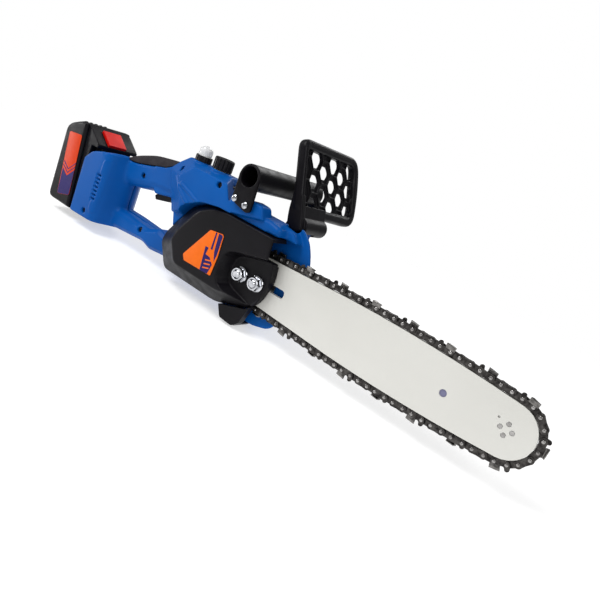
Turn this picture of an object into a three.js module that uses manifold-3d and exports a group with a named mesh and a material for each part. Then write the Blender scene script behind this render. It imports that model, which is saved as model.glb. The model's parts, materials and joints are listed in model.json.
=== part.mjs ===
// A battery chainsaw with a rear handle, in millimetres.
// Shapes are drawn about the drive sprocket: X runs along the bar to its tip, Y to the saw's left, Z up.
// Last, the whole saw is shifted so that the flat foot under the motor sits at the origin.
import * as THREE from 'three';
import { mergeVertices } from 'three/addons/utils/BufferGeometryUtils.js';
import Module from 'manifold-3d';

const wasm = await Module();
wasm.setup();

// ---------------------------------------------------------------- driving dimensions

const GAP = 0.3; // clearance between pieces that touch
const PARTING_Y = 17; // plane where the two housing halves meet
const FOOT = { x: 32, y: 56, z: -57 }; // centre of the flat foot, seen from the sprocket

// chain: 3/8 inch low profile, six-tooth drive sprocket, nine-tooth nose sprocket
const DRIVE_LINKS = 45;
const TIE_SPACING = 10.065; // rivet to rivet across a tie strap
const DRIVE_SPACING = 8.985; // rivet to rivet across a drive link
const DRIVE_PITCH_RADIUS = 18.4;
const NOSE_PITCH_RADIUS = 28.4; // the rivets stand off the nose wheel a little
const STRAP_HALF_HEIGHT = 3.2;
const CHAIN_HALF_WIDTH = 2.2;
const DRIVE_LINK_THICKNESS = 1.3;

// bar
const BAR_Z = 0;
const BAR_HALF_THICKNESS = 2.1;
const BAR_EDGE = 4; // from the rivet line in to the bar's edge
const BAR_ENTRY = { x: 55.2, half: 28.2 }; // rivet line where the chain meets the bar
const BAR_SHOULDER = { x: 157, half: 32.6 }; // where the straight edges start to curve
const BAR_BULGE = 4.1; // how far the curve is pulled out on its way to the nose
const NOSE = { x: 354.2, z: 0 };
const NOSE_START_ANGLE = THREE.MathUtils.degToRad(84);
const BAR_TAIL_X = 24;
const SLOT = { from: 52, to: 116.5, half: 4.3 };
const STUDS_X = [67.5, 89.5];
const STUD_Z = -1.3; // the studs and the bar's slot sit a little under its middle
const BAR_HOLE = { x: 297.5, z: -1.3, radius: 3.5, floor: -0.95 }; // a shallow round recess
const GREASE_HOLE = { x: 345, z: 6.6, radius: 1.1 };
const STUD_RADIUS = 4;
const ADJUST_HOLE = { x: 78, z: -16 };

// drive train, right to left
const MOTOR_AXIS = { x: 32, z: 0 };
const GEAR_TEETH = 30;
const PINION_TEETH = 10;
const SHAFT_RADIUS = 4;
const GEAR_MODULE = 1.6;
const GEAR_Y = [18, 26];

// handles, guard and pack
const TUBE = { x: 46.5, z: 93, outer: 12.7, inner: 10.2, from: -31, to: 92 };
const NEAR_SCREWS = [{ x: 39, z: 68 }, { x: 54, z: 66 }];
const FAR_SCREW = { x: 33, z: 8 };
const GUARD_PIVOT = { x: 94, z: 66 };
const GUARD_LEAN = THREE.MathUtils.degToRad(20);
const GUARD_DEPTH = 11;
const GUARD_MIDDLE_Y = 66.8;
const CELL_COLUMN = 18.4; // from one column of guard cells to the next
const CELL_ROW = 23.2; // from one cell up to the next
const HUB = { radius: 9.5, cavity: 7.4, from: 11, to: 53 };
const LUG = { radius: 7, from: 13, to: 34 };
const TRIGGER_PIVOT = { x: -70, z: 33 };
const TENSION_AXIS = { y: 9.4, z: -16 };
const TENSION_TRAVEL = 6; // how far the bar and the chain slide back
const CAP = { x: -12, y: -4, top: 95.4 };
const BULB = { x: -41, y: -4 };
const PACK_Y = [-20, 48];
const BUTTON = { x: -208, y: 12, z: 52.6, lean: THREE.MathUtils.degToRad(34.4) };
const VENTS = { x: -174.4, lowest: -16, pitch: 5 };
const DOCK_X = -210.3; // face of the housing that the battery slides along

// housing screws: position of each recess and the face it is sunk into
const HOUSING_SCREWS = [
  { x: 10, z: 71.5, face: -26 },
  { x: -54, z: 67, face: -14 },
  { x: -127, z: 35, face: 0 },
  { x: -105, z: -25, face: 0 },
  { x: -184, z: -35, face: -22 },
];

// ---------------------------------------------------------------- materials

const material = (color, roughness, metalness = 0) =>
  new THREE.MeshStandardMaterial({ color, roughness, metalness });
const BLUE = material(0x0f55b0, 0.45);
const BLACK = material(0x17171a, 0.5);
const RUBBER = material(0x1c1b1d, 0.8);
const STEEL = material(0x9c9b98, 0.35, 1);
const BAR_PAINT = material(0xd0ccc6, 0.4, 0.3);
const CHROME = material(0xd8dade, 0.15, 1);
const COPPER = material(0xa4562c, 0.4, 1);
const ALUMINIUM = material(0xb9bcc0, 0.4, 1);
const RED = material(0xdc2410, 0.4);
const ORANGE = material(0xee6a14, 0.4);
const CLEAR = material(0xdfe3e4, 0.15);
const CIRCUIT = material(0x14603a, 0.5);
const CELL = material(0x2f7f86, 0.45);
const MILKY = material(0xd9dccb, 0.4);

// ---------------------------------------------------------------- shape helpers

// A closed outline from [x, y, corner radius] points.
function outline(points) {
  const shape = new THREE.Shape();
  points.forEach(([x, y, radius = 0], index) => {
    const corner = new THREE.Vector2(x, y);
    const [beforeX, beforeY] = points.at(index - 1);
    const [afterX, afterY] = points[(index + 1) % points.length];
    const toBefore = new THREE.Vector2(beforeX, beforeY).sub(corner);
    const toAfter = new THREE.Vector2(afterX, afterY).sub(corner);
    const reach = Math.min(radius, 0.48 * toBefore.length(), 0.48 * toAfter.length());
    const start = toBefore.setLength(reach).add(corner);
    const end = toAfter.setLength(reach).add(corner);
    if (index === 0) shape.moveTo(start.x, start.y);
    else shape.lineTo(start.x, start.y);
    if (radius > 0) shape.quadraticCurveTo(x, y, end.x, end.y);
  });
  return shape;
}

// Extrudes a shape along +Z from 0 to length, with edges rounded over by `round`.
function extrude(shape, length, { round = 0, steps = 2, curves = 3 } = {}) {
  return new THREE.ExtrudeGeometry(shape, {
    depth: length - 2 * round,
    curveSegments: curves,
    bevelEnabled: round > 0,
    bevelThickness: round,
    bevelSize: round,
    bevelOffset: -round,
    bevelSegments: steps,
  }).translate(0, 0, round);
}

// A closed geometry as a manifold solid.
function solid(geometry) {
  const bare = new THREE.BufferGeometry();
  const flat = geometry.index ? geometry.toNonIndexed() : geometry;
  bare.setAttribute('position', flat.getAttribute('position').clone());
  const merged = mergeVertices(bare, 1e-4);
  return new wasm.Manifold(new wasm.Mesh({
    numProp: 3,
    vertProperties: new Float32Array(merged.attributes.position.array),
    triVerts: new Uint32Array(merged.index.array),
  }));
}

// Side-view outline (X, Z), thick along Y.
function plate(points, yFrom, yTo, options) {
  const shape = Array.isArray(points) ? outline(points) : points;
  return solid(extrude(shape, yTo - yFrom, options).rotateX(Math.PI / 2).translate(0, yTo, 0));
}

// A plate with one face, at yScaled, scaled about a pivot so that its walls slope.
function tapered(points, yKept, yScaled, factor, pivot) {
  const [low, high] = [Math.min(yKept, yScaled), Math.max(yKept, yScaled)];
  const geometry = extrude(outline(points), high - low).rotateX(Math.PI / 2).translate(0, high, 0);
  const position = geometry.getAttribute('position');
  for (let index = 0; index < position.count; index += 1) {
    if (Math.abs(position.getY(index) - yScaled) < 0.01) {
      position.setX(index, pivot.x + (position.getX(index) - pivot.x) * factor);
      position.setZ(index, pivot.z + (position.getZ(index) - pivot.z) * factor);
    }
  }
  return solid(geometry);
}

// Plan-view outline (X, Y), thick along Z.
function slab(points, zFrom, zTo, options) {
  const shape = Array.isArray(points) ? outline(points) : points;
  return solid(extrude(shape, zTo - zFrom, options).translate(0, 0, zFrom));
}

// Front-view outline (Y, Z), thick along X.
function bulkhead(points, xFrom, xTo, options) {
  const turn = new THREE.Matrix4().set(0, 0, 1, xFrom, 1, 0, 0, 0, 0, 1, 0, 0, 0, 0, 0, 1);
  return solid(extrude(outline(points), xTo - xFrom, options).applyMatrix4(turn));
}

function box(x, y, z) {
  const size = [x, y, z].map(([from, to]) => to - from);
  const middle = [x, y, z].map(([from, to]) => (from + to) / 2);
  return solid(new THREE.BoxGeometry(...size).translate(...middle));
}

// A round bar along Y.
function rod(x, z, radius, yFrom, yTo, sides = 16) {
  const geometry = new THREE.CylinderGeometry(radius, radius, yTo - yFrom, sides);
  return solid(geometry.translate(x, (yFrom + yTo) / 2, z));
}

// A round bar along Z.
function post(x, y, radius, zFrom, zTo, sides = 20) {
  const geometry = new THREE.CylinderGeometry(radius, radius, zTo - zFrom, sides);
  return solid(geometry.rotateX(Math.PI / 2).translate(x, y, (zFrom + zTo) / 2));
}

// A round bar along X.
function spindle(y, z, radius, xFrom, xTo, sides = 10) {
  const geometry = new THREE.CylinderGeometry(radius, radius, xTo - xFrom, sides);
  return solid(geometry.rotateZ(Math.PI / 2).translate((xFrom + xTo) / 2, y, z));
}

// A turned shape about the Y line through (x, z); profile points are [radius, y].
function turned(profile, x, z, sides = 20) {
  const points = profile.map(([radius, y]) => new THREE.Vector2(radius, y));
  if (profile[0][0] > 0) points.push(points[0].clone());
  return solid(new THREE.LatheGeometry(points, sides).translate(x, 0, z));
}

// The same, standing up about the Z line through (x, y); profile points are [radius, z].
function turnedUp(profile, x, y, sides = 20) {
  const points = profile.map(([radius, z]) => new THREE.Vector2(radius, z));
  if (profile[0][0] > 0) points.push(points[0].clone());
  return solid(new THREE.LatheGeometry(points, sides).rotateX(Math.PI / 2).translate(x, y, 0));
}

function union(solids) {
  return solids.reduce((sum, next) => sum.add(next));
}

function cut(body, tools) {
  return tools.reduce((rest, tool) => rest.subtract(tool), body);
}

const saw = new THREE.Group();

function add(name, shape, look) {
  const mesh = shape.getMesh();
  const geometry = new THREE.BufferGeometry();
  geometry.setAttribute('position', new THREE.BufferAttribute(mesh.vertProperties, 3));
  geometry.setIndex(new THREE.BufferAttribute(mesh.triVerts, 1));
  const flat = geometry.toNonIndexed();
  flat.computeVertexNormals();
  const part = new THREE.Mesh(flat, look);
  part.name = name;
  saw.add(part);
  return part;
}

// ---------------------------------------------------------------- bar and chain

// Closed loop at a distance `inset` inside the chain's rivet line, from the bar's tail or the sprocket.
function barOutline(inset) {
  const entry = BAR_ENTRY.half - inset;
  const shoulder = BAR_SHOULDER.half - inset;
  const noseRadius = NOSE_PITCH_RADIUS - inset;
  const noseX = NOSE.x + noseRadius * Math.cos(NOSE_START_ANGLE);
  const noseHalf = noseRadius * Math.sin(NOSE_START_ANGLE);
  const bendX = (BAR_SHOULDER.x + noseX) / 2;
  const bendHalf = shoulder + BAR_BULGE;
  const shape = new THREE.Shape();
  const tail = entry - 3.7;
  shape.moveTo(BAR_TAIL_X + 8, BAR_Z - tail);
  shape.lineTo(BAR_ENTRY.x, BAR_Z - entry);
  shape.lineTo(BAR_SHOULDER.x, BAR_Z - shoulder);
  shape.quadraticCurveTo(bendX, BAR_Z - bendHalf, noseX, NOSE.z - noseHalf);
  shape.absarc(NOSE.x, NOSE.z, noseRadius, -NOSE_START_ANGLE, NOSE_START_ANGLE, false);
  shape.quadraticCurveTo(bendX, BAR_Z + bendHalf, BAR_SHOULDER.x, BAR_Z + shoulder);
  shape.lineTo(BAR_ENTRY.x, BAR_Z + entry);
  shape.lineTo(BAR_TAIL_X + 8, BAR_Z + tail);
  shape.quadraticCurveTo(BAR_TAIL_X, BAR_Z + tail - 1, BAR_TAIL_X, BAR_Z + tail - 9);
  shape.lineTo(BAR_TAIL_X, BAR_Z - tail + 9);
  shape.quadraticCurveTo(BAR_TAIL_X, BAR_Z - tail + 1, BAR_TAIL_X + 8, BAR_Z - tail);
  return shape;
}

const NOSE_TIP_RADIUS = NOSE_PITCH_RADIUS - STRAP_HALF_HEIGHT;
const NOSE_CORE_RADIUS = 8.6;
const NOSE_RIVET_CIRCLE = 5.2;

function noseRivetPlaces() {
  const quarter = Math.PI / 2;
  return [0, 1, 2, 3].map((turn) => ({
    x: NOSE.x + NOSE_RIVET_CIRCLE * Math.cos(turn * quarter),
    z: NOSE.z + NOSE_RIVET_CIRCLE * Math.sin(turn * quarter),
  }));
}

function guideBar() {
  const blank = plate(barOutline(BAR_EDGE), -BAR_HALF_THICKNESS, BAR_HALF_THICKNESS, { curves: 7 });
  const grooveHalf = DRIVE_LINK_THICKNESS / 2 + GAP;
  const grooveDepth = 6;
  const grooveOuter = plate(barOutline(BAR_EDGE - 2), -grooveHalf, grooveHalf, { curves: 7 });
  const grooveInner = plate(barOutline(BAR_EDGE + grooveDepth), -3, 3, { curves: 7 });
  const tailEnd = box([BAR_TAIL_X - 5, BAR_TAIL_X + 7], [-1, 1], [-14, 14]);
  const groove = grooveOuter.subtract(grooveInner).subtract(tailEnd);
  const pocketHalf = 1.05;
  const pocket = rod(NOSE.x, NOSE.z, NOSE_TIP_RADIUS + 1, -pocketHalf, pocketHalf, 28)
    .subtract(rod(NOSE.x, NOSE.z, NOSE_CORE_RADIUS, -3, 3));
  const slot = plate([
    [SLOT.from, STUD_Z - SLOT.half, 3.5],
    [SLOT.to, STUD_Z - SLOT.half, 3.5],
    [SLOT.to, STUD_Z + SLOT.half, 3.5],
    [SLOT.from, STUD_Z + SLOT.half, 3.5],
  ], -4, 4);
  const holes = [
    slot,
    rod(ADJUST_HOLE.x, ADJUST_HOLE.z, 2.7, -4, 4, 16),
    rod(BAR_HOLE.x, BAR_HOLE.z, BAR_HOLE.radius, -4, BAR_HOLE.floor, 20),
    rod(GREASE_HOLE.x, GREASE_HOLE.z, GREASE_HOLE.radius, -4, 0, 10),
    ...noseRivetPlaces().map(({ x, z }) => rod(x, z, 2.2, -4, 4, 16)),
  ];
  return cut(blank, [groove, pocket, ...holes]);
}

// The line the chain's rivets follow: sprocket, top run, nose, bottom run.
function rivetLine() {
  const departure = (half, side) => {
    const reach = Math.hypot(BAR_ENTRY.x, half);
    return side * (Math.atan2(half, BAR_ENTRY.x) + Math.acos(DRIVE_PITCH_RADIUS / reach));
  };
  const top = departure(BAR_ENTRY.half + BAR_Z, 1);
  const bottom = departure(BAR_ENTRY.half - BAR_Z, -1);
  const noseX = NOSE.x + NOSE_PITCH_RADIUS * Math.cos(NOSE_START_ANGLE);
  const noseHalf = NOSE_PITCH_RADIUS * Math.sin(NOSE_START_ANGLE);
  const bendX = (BAR_SHOULDER.x + noseX) / 2;
  const bendHalf = BAR_SHOULDER.half + BAR_BULGE;
  const path = new THREE.Path();
  path.absarc(0, 0, DRIVE_PITCH_RADIUS, bottom, top - 2 * Math.PI, true);
  path.lineTo(BAR_ENTRY.x, BAR_Z + BAR_ENTRY.half);
  path.lineTo(BAR_SHOULDER.x, BAR_Z + BAR_SHOULDER.half);
  path.quadraticCurveTo(bendX, BAR_Z + bendHalf, noseX, NOSE.z + noseHalf);
  path.absarc(NOSE.x, NOSE.z, NOSE_PITCH_RADIUS, NOSE_START_ANGLE, -NOSE_START_ANGLE, true);
  path.quadraticCurveTo(bendX, BAR_Z - bendHalf, BAR_SHOULDER.x, BAR_Z - BAR_SHOULDER.half);
  path.lineTo(BAR_ENTRY.x, BAR_Z - BAR_ENTRY.half);
  path.lineTo(DRIVE_PITCH_RADIUS * Math.cos(bottom), DRIVE_PITCH_RADIUS * Math.sin(bottom));
  return path;
}

// Each link as its first rivet, the direction to the next, and whether it is a tie strap.
function chainLinks() {
  const path = rivetLine();
  const total = DRIVE_LINKS * (TIE_SPACING + DRIVE_SPACING);
  const links = [];
  let travelled = 0;
  for (let index = 0; index < 2 * DRIVE_LINKS; index += 1) {
    const isTie = index % 2 === 1;
    const next = travelled + (isTie ? TIE_SPACING : DRIVE_SPACING);
    const here = path.getPointAt(travelled / total);
    const there = path.getPointAt(Math.min(next / total, 1));
    const middle = here.clone().add(there).multiplyScalar(0.5);
    links.push({ isTie, number: Math.floor(index / 2), middle, angle: there.sub(here).angle() });
    travelled = next;
  }
  return links;
}

// Local link shapes: X along the chain's travel, Z away from the bar.
const TIE_SHAPE = [[-6, -3.2], [6, -3.2], [8.2, 0], [6, 3.2], [-6, 3.2], [-8.2, 0]];
const DRIVE_SHAPE = [[-6.6, -2.4], [-1, -8.6], [6.6, -2.4], [6.6, 2.4], [-6.6, 2.4]];
const GAUGE_SHAPE = [[-8, 0], [-3.6, 0], [-4, 5.6], [-6.6, 6]];
const TOOTH_SHAPE = [[-1.5, 0], [8, 0], [8.6, 5.6], [-0.5, 6.6]];

function cutter(side) {
  const inner = side * 0.5;
  const outer = side * (CHAIN_HALF_WIDTH + 1.1);
  const yFrom = Math.min(inner, outer);
  const yTo = Math.max(inner, outer);
  const gauge = plate(GAUGE_SHAPE, Math.min(side, outer), Math.max(side, outer));
  const tooth = plate(TOOTH_SHAPE, yFrom, yTo);
  return union([plate(TIE_SHAPE, -CHAIN_HALF_WIDTH, CHAIN_HALF_WIDTH), gauge, tooth]);
}

function sawChain() {
  const tie = plate(TIE_SHAPE, -CHAIN_HALF_WIDTH, CHAIN_HALF_WIDTH);
  const drive = plate(DRIVE_SHAPE, -DRIVE_LINK_THICKNESS / 2, DRIVE_LINK_THICKNESS / 2);
  const cutters = [cutter(-1), cutter(1)];
  const placed = chainLinks().map(({ isTie, number, middle, angle }) => {
    const isCutter = isTie && number % 2 === 1;
    const straight = isCutter ? cutters[((number - 1) / 2) % 2] : isTie ? tie : drive;
    const aimed = straight.rotate([0, -THREE.MathUtils.radToDeg(angle), 0]);
    return aimed.translate([middle.x, 0, middle.y]);
  });
  const clearance = 0.5;
  const sprocketRoom = DRIVE_PITCH_RADIUS - STRAP_HALF_HEIGHT + clearance;
  return cut(union(placed), [
    rod(0, 0, sprocketRoom, -5, 5, 28),
    rod(TENSION_TRAVEL, 0, sprocketRoom, -5, 5, 28),
    box([0, TENSION_TRAVEL], [-5, 5], [-sprocketRoom, sprocketRoom]),
    rod(NOSE.x, NOSE.z, NOSE_TIP_RADIUS + clearance, -5, 5, 36),
  ]);
}

// A toothed wheel: straight-sided teeth between a root and a tip radius.
function toothed(teeth, root, tip, yFrom, yTo, phase = 0) {
  const step = (2 * Math.PI) / teeth;
  const corners = [[-0.3, root], [-0.14, tip], [0.14, tip], [0.3, root]];
  const points = [];
  for (let tooth = 0; tooth < teeth; tooth += 1) {
    corners.forEach(([share, radius]) => {
      const angle = phase + (tooth + share) * step;
      points.push([radius * Math.cos(angle), radius * Math.sin(angle)]);
    });
  }
  return plate(points, yFrom, yTo);
}

function driveSprocket() {
  const wheel = toothed(6, 10, DRIVE_PITCH_RADIUS - STRAP_HALF_HEIGHT, -3.5, 3);
  const hub = rod(0, 0, 8, -5.5, 4);
  return wheel.add(hub).subtract(rod(0, 0, SHAFT_RADIUS + GAP, -9, 9));
}

function noseSprocket() {
  return toothed(9, NOSE_TIP_RADIUS - 5, NOSE_TIP_RADIUS, -0.75, 0.75)
    .translate([NOSE.x, 0, NOSE.z])
    .subtract(rod(NOSE.x, NOSE.z, NOSE_CORE_RADIUS + 0.4, -2, 2));
}

function barFittings() {
  add('guide_bar', guideBar(), BAR_PAINT);
  add('nose_sprocket', noseSprocket(), STEEL);
  noseRivetPlaces().forEach(({ x, z }, index) => {
    add(`nose_rivet_${index + 1}`, rod(x, z, 1.9, -2.25, 2.25, 16), STEEL);
  });
  add('saw_chain', sawChain(), STEEL);
  STUDS_X.forEach((x, index) => {
    add(`bar_stud_${index + 1}`, rod(x, STUD_Z, STUD_RADIUS, -23.5, 14, 20), STEEL);
  });
  const backing = plate([[57, -11, 3], [101, -11, 3], [101, 9, 3], [57, 9, 3]], 2.5, 4.2);
  const backingHoles = STUDS_X.map((x) => rod(x, STUD_Z, STUD_RADIUS + GAP, 0, 9));
  add('bar_plate', cut(backing, backingHoles), STEEL);
}

// ---------------------------------------------------------------- chain tensioner

function tensioner() {
  const { y, z } = TENSION_AXIS;
  const block = box([74, 82], [5, 13.2], [z - 4, z + 4]);
  const peg = rod(ADJUST_HOLE.x, ADJUST_HOLE.z, 2.3, -1.6, 6, 16);
  add('tension_block', block.add(peg).subtract(spindle(y, z, 2.9, 60, 100)), STEEL);
  const shank = spindle(y, z, 2.5, 62, 112);
  const head = spindle(y, z, 3.5, 111.5, 116);
  const driverSlot = box([114.5, 118], [y - 0.6, y + 0.6], [z - 5, z + 5]);
  add('tension_screw', shank.add(head).subtract(driverSlot), STEEL);
}

function tensionerRoom() {
  const { y, z } = TENSION_AXIS;
  return [
    box([61, 93], [4, 13.6], [z - 4.4, z + 4.4]),
    spindle(y, z, 4, 92, 140),
    spindle(y, z, 2.9, 60, 94),
  ];
}

// ---------------------------------------------------------------- housing

// Side outlines of the housing's regions.
const GRIP_SIDE = [
  [-178, 0], [-163, 13, 3], [-129, 18.5, 8], [-104, 26, 4], [-50, 29],
  [-50, 70], [-88, 68, 3], [-123, 63, 10], [-155, 52, 10], [-186, 36],
];
const DOCK_SIDE = [
  [DOCK_X, -44, 4], [-134, -42], [-131, -17, 4], [-136, 22], [-150, 50],
  [-186, 40, 4], [-198, 36, 3], [DOCK_X, 24, 3],
];
const DOCK_PLAN = [
  [DOCK_X, -22, 3], [-165, -22, 10], [-152, 9, 14], [-152, 23, 14], [-178, 50, 14], [DOCK_X, 50, 3],
];
const ARM_SIDE = [
  [-170, -43], [-99, -37, 4], [-85, -41, 3], [-57, -38], [-40, -38],
  [-40, -8], [-62, -16, 4], [-78, -12, 3], [-95, -19, 4], [-134, -17], [-170, -17],
];
const TRUNK_SIDE = [
  [-58, -40, 4], [-63, -16, 3], [-57, -3, 8], [-62, 14, 6], [-76, 42, 4], [-84, 60],
  [-60, 66, 6], [25, 64, 4], [84, 63, 6], [104, 66, 4], [116, 57, 8], [128, 35, 12],
  [130, 2, 20], [122, -26, 16], [110, -44, 6], [88, -50, 6], [60, -47], [-30, -47, 8],
];
const TANK_SIDE = [
  [-62, 16], [-76, 44], [-84, 60], [-73, 71], [-60, 81], [6, 81], [17, 63], [30, 50], [-10, 20],
];
const REAR_SIDE = [
  [-58, -40], [-63, -16], [-58, -2], [-76, 42], [-84, 60], [-60, 66], [-10, 66], [-10, -40],
];
const COVER_RIM = [
  [-56, -17, 5], [-52, -4, 5], [-27, 35, 8], [-4, 46, 6], [20, 50], [91, 50], [97, 50],
  [100, 23, 3], [103, 5, 6], [97, -18, 6], [88, -30, 3], [45, -44, 8], [-39, -44, 6],
];

// Everything the cover and the chain behind it need clear of the housing.
function coverRoom() {
  const swollen = COVER_RIM.map(([x, z, radius]) => [
    x + Math.sign(x - 20) * 0.8, z + Math.sign(z) * 0.9, radius,
  ]);
  swollen.splice(5, 7, [140, 50.9], [140, -70], [40, -70], [40, -44.9]);
  return plate(swollen, -40, 4.6);
}

function motorBarrel() {
  const reach = 30;
  const end = 88;
  return turned([
    [0, PARTING_Y - 2], [reach, PARTING_Y - 2], [reach, end - 8],
    [reach - 3, end - 3], [reach - 8, end], [0, end],
  ], MOTOR_AXIS.x, MOTOR_AXIS.z, 28);
}

// The outside of the whole housing before it is hollowed and split.
function housingBlank() {
  const grip = plate(GRIP_SIDE, 0, 34, { round: 9 });
  const dock = plate(DOCK_SIDE, -30, 64).intersect(slab(DOCK_PLAN, -60, 60, { curves: 5 }));
  const triggerGuard = plate(TRIGGER_GUARD_SIDE, 2, 32, { round: 1.5 });
  const arm = plate(ARM_SIDE, 0, 34, { round: 5, steps: 1 });
  const trunk = plate(TRUNK_SIDE, 4.6, 8).add(tapered(TRUNK_SIDE, 7.9, 50, 0.75, { x: -50, z: -30 }));
  const tankHump = plate(TANK_SIDE, -4, 12).add(tapered(TANK_SIDE, -3.9, -26, 0.74, { x: 60, z: 62 }));
  const ledge = plate([[-6, 40], [12, 62], [84, 63], [97, 60], [97, 40]], -22, 12, { round: 3, steps: 1 });
  const armShoulder = plate([[78, 50], [80, 63.4, 3], [102, 61.5, 5], [112, 50]], -8, 12);
  const rearFlare = tapered(REAR_SIDE, 12, -10, 0.8, { x: 0, z: 20 });
  const bossSide = [[28, 50], [30, 68, 3], [58, 73, 3], [70, 72, 3], [76, 60]];
  const boss = plate(bossSide, -26, -8, { round: 1.5, steps: 1 });
  const foot = plate([[-10, -57, 1], [74, -57, 1], [70, -20], [-6, -20]], 30, 82);
  const capBoss = post(CAP.x, CAP.y, 11.4, 74, 82.6, 24);
  const bulbBoss = post(BULB.x, BULB.y, 9.6, 74, 82.1, 24);
  return union([
    grip, triggerGuard, dock, arm, trunk, tankHump, ledge, armShoulder, rearFlare, boss, foot,
    motorBarrel(), capBoss, bulbBoss,
  ]);
}

function screwBores() {
  return HOUSING_SCREWS.flatMap(({ x, z, face }) => [
    rod(x, z, 3.5, face - 6, face + 6, 12),
    rod(x, z, 2.1, face, PARTING_Y + 11, 8),
  ]);
}

function screwBosses() {
  return HOUSING_SCREWS.map(({ x, z, face }) => rod(x, z, 5.2, face + 2, PARTING_Y + 14, 10));
}

// The block under the grip that the trigger slides in.
const TRIGGER_GUARD_SIDE = [[-109, 29], [-103, 22.5, 2], [-72, 28.5], [-60, 36], [-109, 36]];
const PAD_SIDE = [[-163, 42.5], [-140, 46], [-96, 56.5], [-84, 63], [-84, 76], [-164, 76]];

const GRIP_ROOM = [
  [-150, 24], [-127, 26], [-104, 31], [-66, 33], [-66, 56], [-88, 54.5], [-123, 48.3], [-150, 38],
];
const GEAR_ROOM = [
  [-52, -38], [-50, 46], [20, 46], [20, 30], [52, 30], [58, 46], [100, 46], [112, 30], [112, -30], [96, -40],
];

function hollows() {
  const inner = 3;
  return [
    plate(GRIP_ROOM, 4, 30),
    plate([[-207, -38], [-170, -38], [-170, 33], [-196, 33], [-207, 22.5]], -16, 44),
    plate([[-172, -38], [-60, -34], [-60, -20], [-134, -22], [-172, -22]], 5, 29),
    plate(GEAR_ROOM, PARTING_Y, 27.7),
    box([-36.6, 4.6], [-15.4, 13], [51.5, 76.5]),
    rod(MOTOR_AXIS.x, MOTOR_AXIS.z, 23.5, PARTING_Y, 88 - inner, 24),
    plate([[-20, -26, 4], [60, -26, 4], [60, 26, 4], [-20, 26, 4]], 27, 31.4),
    rod(0, 0, 27.5, PARTING_Y, 27.8, 24),
  ];
}

// Slots, bores and pockets that other pieces pass through.
function openings() {
  const batteryRails = box([-217, -198.4], [-9, 37], [-36, 60]);
  const triggerSlot = box([-112.4, -65.5], [9, 25], [10, 36]);
  const springRoom = box([-74.5, -65.5], [9, 28.6], [28, 38]);
  const shaftHole = rod(0, 0, 6, 0, 9);
  const bearingSeat = rod(0, 0, 11.3, 8.7, PARTING_Y + 1, 24);
  const studHoles = STUDS_X.map((x) => rod(x, STUD_Z, STUD_RADIUS + GAP, 0, 14.4));
  const capHole = post(CAP.x, CAP.y, 9.2, 70, 90);
  const bulbHole = post(BULB.x, BULB.y, 3.4, 70, 90, 16);
  const oilWay = spindle(2, 46.5, 2.2, 8, 24, 12);
  const armRoom = rod(GUARD_PIVOT.x, GUARD_PIVOT.z, 9, 0, 12.2, 16)
    .add(box([79, 96], [0, 12.2], [62.6, 80]));
  const hubRoom = rod(GUARD_PIVOT.x, GUARD_PIVOT.z, HUB.radius + 2 * GAP, HUB.from - GAP, 90, 20);
  const triggerPin = rod(TRIGGER_PIVOT.x, TRIGGER_PIVOT.z, 1.8, 3, 31, 12);
  const lockHole = rod(-88, 46, 4.4, 20, 40, 20);
  const swollenPad = PAD_SIDE.map(([x, z]) => [x < -120 ? x - GAP : x + GAP, z < 70 ? z - GAP : z]);
  const pad = plate(swollenPad, -GAP, 34 + GAP);
  const vents = Array.from({ length: 7 }, (_, row) => ventSlot(VENTS.x, VENTS.lowest + VENTS.pitch * row));
  const nearScrews = NEAR_SCREWS.map(({ x, z }) => rod(x, z, 2.1, -30, -12, 12));
  const farScrew = rod(FAR_SCREW.x, FAR_SCREW.z, 2.1, 78, 92, 12);
  const motorVents = Array.from({ length: 8 }, (_, spoke) => {
    const angle = (spoke * Math.PI) / 4 + 0.4;
    return rod(MOTOR_AXIS.x + 16 * Math.cos(angle), MOTOR_AXIS.z + 16 * Math.sin(angle), 2.6, 80, 92, 10);
  });
  return [
    coverRoom(), batteryRails, triggerSlot, shaftHole, bearingSeat, ...studHoles, capHole, bulbHole, oilWay,
    armRoom, hubRoom, triggerPin, springRoom, lockHole, pad, ...vents, ...nearScrews, farScrew,
    ...motorVents,
    ...tensionerRoom(), ...screwBores(),
  ];
}

// One short, shallow air slot in the dock's right wall.
function ventSlot(x, z) {
  return box([x - 3.5, x + 3.5], [-24, -18], [z - 1, z + 1]);
}

function housingHalves() {
  const hollowed = cut(housingBlank(), hollows()).add(union(screwBosses()).intersect(housingBlank()));
  const whole = cut(hollowed, openings()).add(guardLug());
  const rightSide = box([-300, 200], [-60, PARTING_Y - GAP / 2], [-100, 120]);
  const leftSide = box([-300, 200], [PARTING_Y + GAP / 2, 120], [-100, 120]);
  add('housing_right', whole.intersect(rightSide), BLUE);
  add('housing_left', whole.intersect(leftSide), BLUE);
  add('grip_pad', plate(GRIP_SIDE, 0, 34, { round: 9 }).intersect(plate(PAD_SIDE, 0, 34)), RUBBER);
  HOUSING_SCREWS.forEach(({ x, z, face }, index) => {
    const screw = turned([
      [0, face + 1.8], [2, face + 2], [3, face + 3], [3, face + 5.6], [1.8, face + 5.6],
      [1.8, PARTING_Y + 9], [0, PARTING_Y + 10],
    ], x, z, 10);
    const cross = box([x - 1.8, x + 1.8], [face + 1, face + 3.2], [z - 0.4, z + 0.4])
      .add(box([x - 0.4, x + 0.4], [face + 1, face + 3.2], [z - 1.8, z + 1.8]));
    add(`housing_screw_${index + 1}`, screw.subtract(cross), STEEL);
  });
}

// ---------------------------------------------------------------- sprocket cover

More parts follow.
